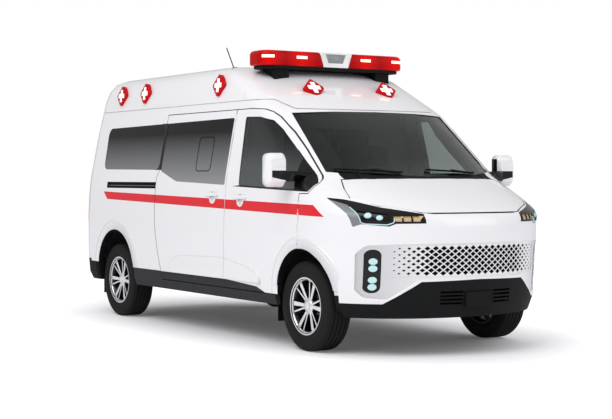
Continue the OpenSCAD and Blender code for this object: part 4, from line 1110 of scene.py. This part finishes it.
def makeSeats():
    low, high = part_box("front_seats")
    bases = bmesh.new()
    baseBack, baseFront = (fromAxle(x) for x in seatShape["base"])
    half, edge = seatShape["baseHalf"] * mm, seatShape["baseEdge"] * mm
    for sideName, side in sides.items():
        seatY = side * (high.y - seatShape["fromSide"] * mm)
        bm = bmesh.new()
        span, width, rise = seatShape["cushion"]
        addCushion(bm, (fromAxle(sum(span) / 2), seatY, sum(rise) / 2 * mm),
                   ((span[1] - span[0]) * mm, width * mm, (rise[1] - rise[0]) * mm), seatShape["cushionLean"])
        for key in ("back", "head"):
            x, z, width, tall, thick = seatShape[key]
            addCushion(bm, (fromAxle(x), seatY, z * mm), (thick * mm, width * mm, tall * mm),
                       -seatShape["backLean"])
        seat = makeObject(bm, "seat_" + sideName, ["cloth"], "front_seats", replaces=side < 0, smooth=70)
        addBlock(bases, (baseBack, seatY - half, low.z),
                 (baseFront, seatY + half, seatShape["baseTop"] * mm), bevel=edge)
    makeObject(bases, "seat_bases", ["cab"], "front_seats")


makeSeats()
print("seats done")


# Every other CAD piece keeps its solid and takes its finish.

plainFinish = {
    # the door posts take the near-black seal: painted shade seen through the gaps round the doors
    "floor_pan": "sheet", "door_posts": "seal", "wheel_liners": "chassis", "light_bar_base": "black",
    "antenna": "gloss", "dashboard": "cab", "steering_wheel": "cab", "partition": "partition",
    "engine_block": "casting", "fuel_tank": "chassis", "exhaust": "steel", "mud_flaps": "seal",
    "plate_holder": "black", "front_subframe": "chassis", "rear_axle": "chassis",
    "knuckle_right": "steel", "knuckle_left": "steel",
}

for node, key in plainFinish.items():
    nodes[node].data.materials.clear()
    nodes[node].data.materials.append(finish[key])
print("plain solids finished:", len(plainFinish))


# Floor, light and camera

studio = {
    "floorSize": 60, "floorColour": "#f4f4f5", "sky": 0.76, "skyColour": "#f7f7fa", "mirrored": 0.5,
    # the board is lit from below away from the vehicle: share of the footprint and strength, near and far
    "glowFrom": (0.9, 0.05), "glowTo": (1.9, 0.45), "footprint": (2.5, 1.05),
    "keyPlace": (4.0, -7.5, 9.0), "keySize": 7.0, "keyPower": 520,
    "fillPlace": (9.0, 4.5, 5.0), "fillSize": 6.0, "fillPower": 130,
}


def makeFloor():
    bm = bmesh.new()
    bmesh.ops.create_grid(bm, x_segments=1, y_segments=1, size=studio["floorSize"] / 2)
    mesh = bpy.data.meshes.new("studio_floor")
    bm.to_mesh(mesh)
    bm.free()
    # matt painted board: white, keeps a soft shadow
    floorFinish = newFinish("mattWhiteBoard", studio["floorColour"], roughness=0.9, specular=0.1,
                            emissionColour="#ffffff")
    tree = floorFinish.node_tree
    path = addNode(tree, "ShaderNodeLightPath")
    place = addNode(tree, "ShaderNodeTexCoord")
    halfLong, halfWide = studio["footprint"]
    scaled = addNode(tree, "ShaderNodeVectorMath",
                     {"operation": "MULTIPLY", 1: (1 / halfLong, 1 / halfWide, 0)}, [(place, "Object", 0)])
    away = addNode(tree, "ShaderNodeVectorMath", {"operation": "LENGTH"}, [(scaled, 0, 0)])
    (nearShare, nearGlow), (farShare, farGlow) = studio["glowFrom"], studio["glowTo"]
    share = addNode(tree, "ShaderNodeMapRange",
                    {"From Min": nearShare, "From Max": farShare, "To Min": nearGlow, "To Max": farGlow},
                    [(away, "Value", "Value")])
    glow = addNode(tree, "ShaderNodeMath", {"operation": "MULTIPLY"},
                   [(path, "Is Camera Ray", 0), (share, "Result", 1)])
    tree.links.new(glow.outputs[0], tree.nodes["Principled BSDF"].inputs["Emission Strength"])
    mesh.materials.append(floorFinish)
    floor = bpy.data.objects.new("studio_floor", mesh)
    bpy.context.scene.collection.objects.link(floor)


def makeWorld():
    world = bpy.data.worlds.new("studio")
    bpy.context.scene.world = world
    world.use_nodes = True
    tree = world.node_tree
    tree.nodes.clear()
    path = addNode(tree, "ShaderNodeLightPath")
    sharp = addNode(tree, "ShaderNodeMath", {"operation": "MAXIMUM"},
                    [(path, "Is Camera Ray", 0), (path, "Is Transmission Ray", 1)])
    soft = addNode(tree, "ShaderNodeBackground",
                   {"Color": linear(studio["skyColour"]), "Strength": studio["sky"]})
    plain = addNode(tree, "ShaderNodeBackground", {"Color": (1, 1, 1, 1), "Strength": 1.0})
    dim = addNode(tree, "ShaderNodeBackground", {"Color": (1, 1, 1, 1), "Strength": studio["mirrored"]})
    lit = addNode(tree, "ShaderNodeMixShader", None, [(path, "Is Glossy Ray", 0), (soft, 0, 1), (dim, 0, 2)])
    mix = addNode(tree, "ShaderNodeMixShader", None, [(sharp, 0, 0), (lit, 0, 1), (plain, 0, 2)])
    addNode(tree, "ShaderNodeOutputWorld", None, [(mix, 0, "Surface")])


def addSoftbox(name, place, size, power):
    light = bpy.data.lights.new(name, "AREA")
    light.size = size
    light.energy = power
    lamp = bpy.data.objects.new(name, light)
    lamp.location = place
    lamp.rotation_euler = (Vector((0, 0, 1)) - Vector(place)).to_track_quat("-Z", "Y").to_euler()
    bpy.context.scene.collection.objects.link(lamp)


def makeCamera():
    # place, direction and lens of the photograph, in a frame 612 wide and 419 high
    view = {"place": (10.850, -6.775, 1.334), "heading": 57.63, "pitch": -1.27, "focalPixels": 1431.7,
            "width": 612, "centre": (310.5, 208.8), "height": 419, "sensor": 36.0}
    camera = bpy.data.cameras.new("photo_camera")
    camera.sensor_width = view["sensor"]
    camera.lens = view["focalPixels"] / view["width"] * view["sensor"]
    camera.shift_x = -(view["centre"][0] - view["width"] / 2) / view["width"]
    camera.shift_y = (view["centre"][1] - view["height"] / 2) / view["width"]
    camera.clip_end = 200
    heading, pitch = math.radians(view["heading"]), math.radians(view["pitch"])
    level = math.cos(pitch)
    ahead = Vector((-math.sin(heading) * level, math.cos(heading) * level, math.sin(pitch)))
    eye = bpy.data.objects.new("photo_camera", camera)
    eye.location = view["place"]
    eye.rotation_euler = ahead.to_track_quat("-Z", "Y").to_euler()
    bpy.context.scene.collection.objects.link(eye)
    bpy.context.scene.camera = eye


makeFloor()
makeWorld()
addSoftbox("key_softbox", studio["keyPlace"], studio["keySize"], studio["keyPower"])
addSoftbox("fill_softbox", studio["fillPlace"], studio["fillSize"], studio["fillPower"])
makeCamera()
bpy.context.scene.view_settings.view_transform = "Standard"
print("studio ready")
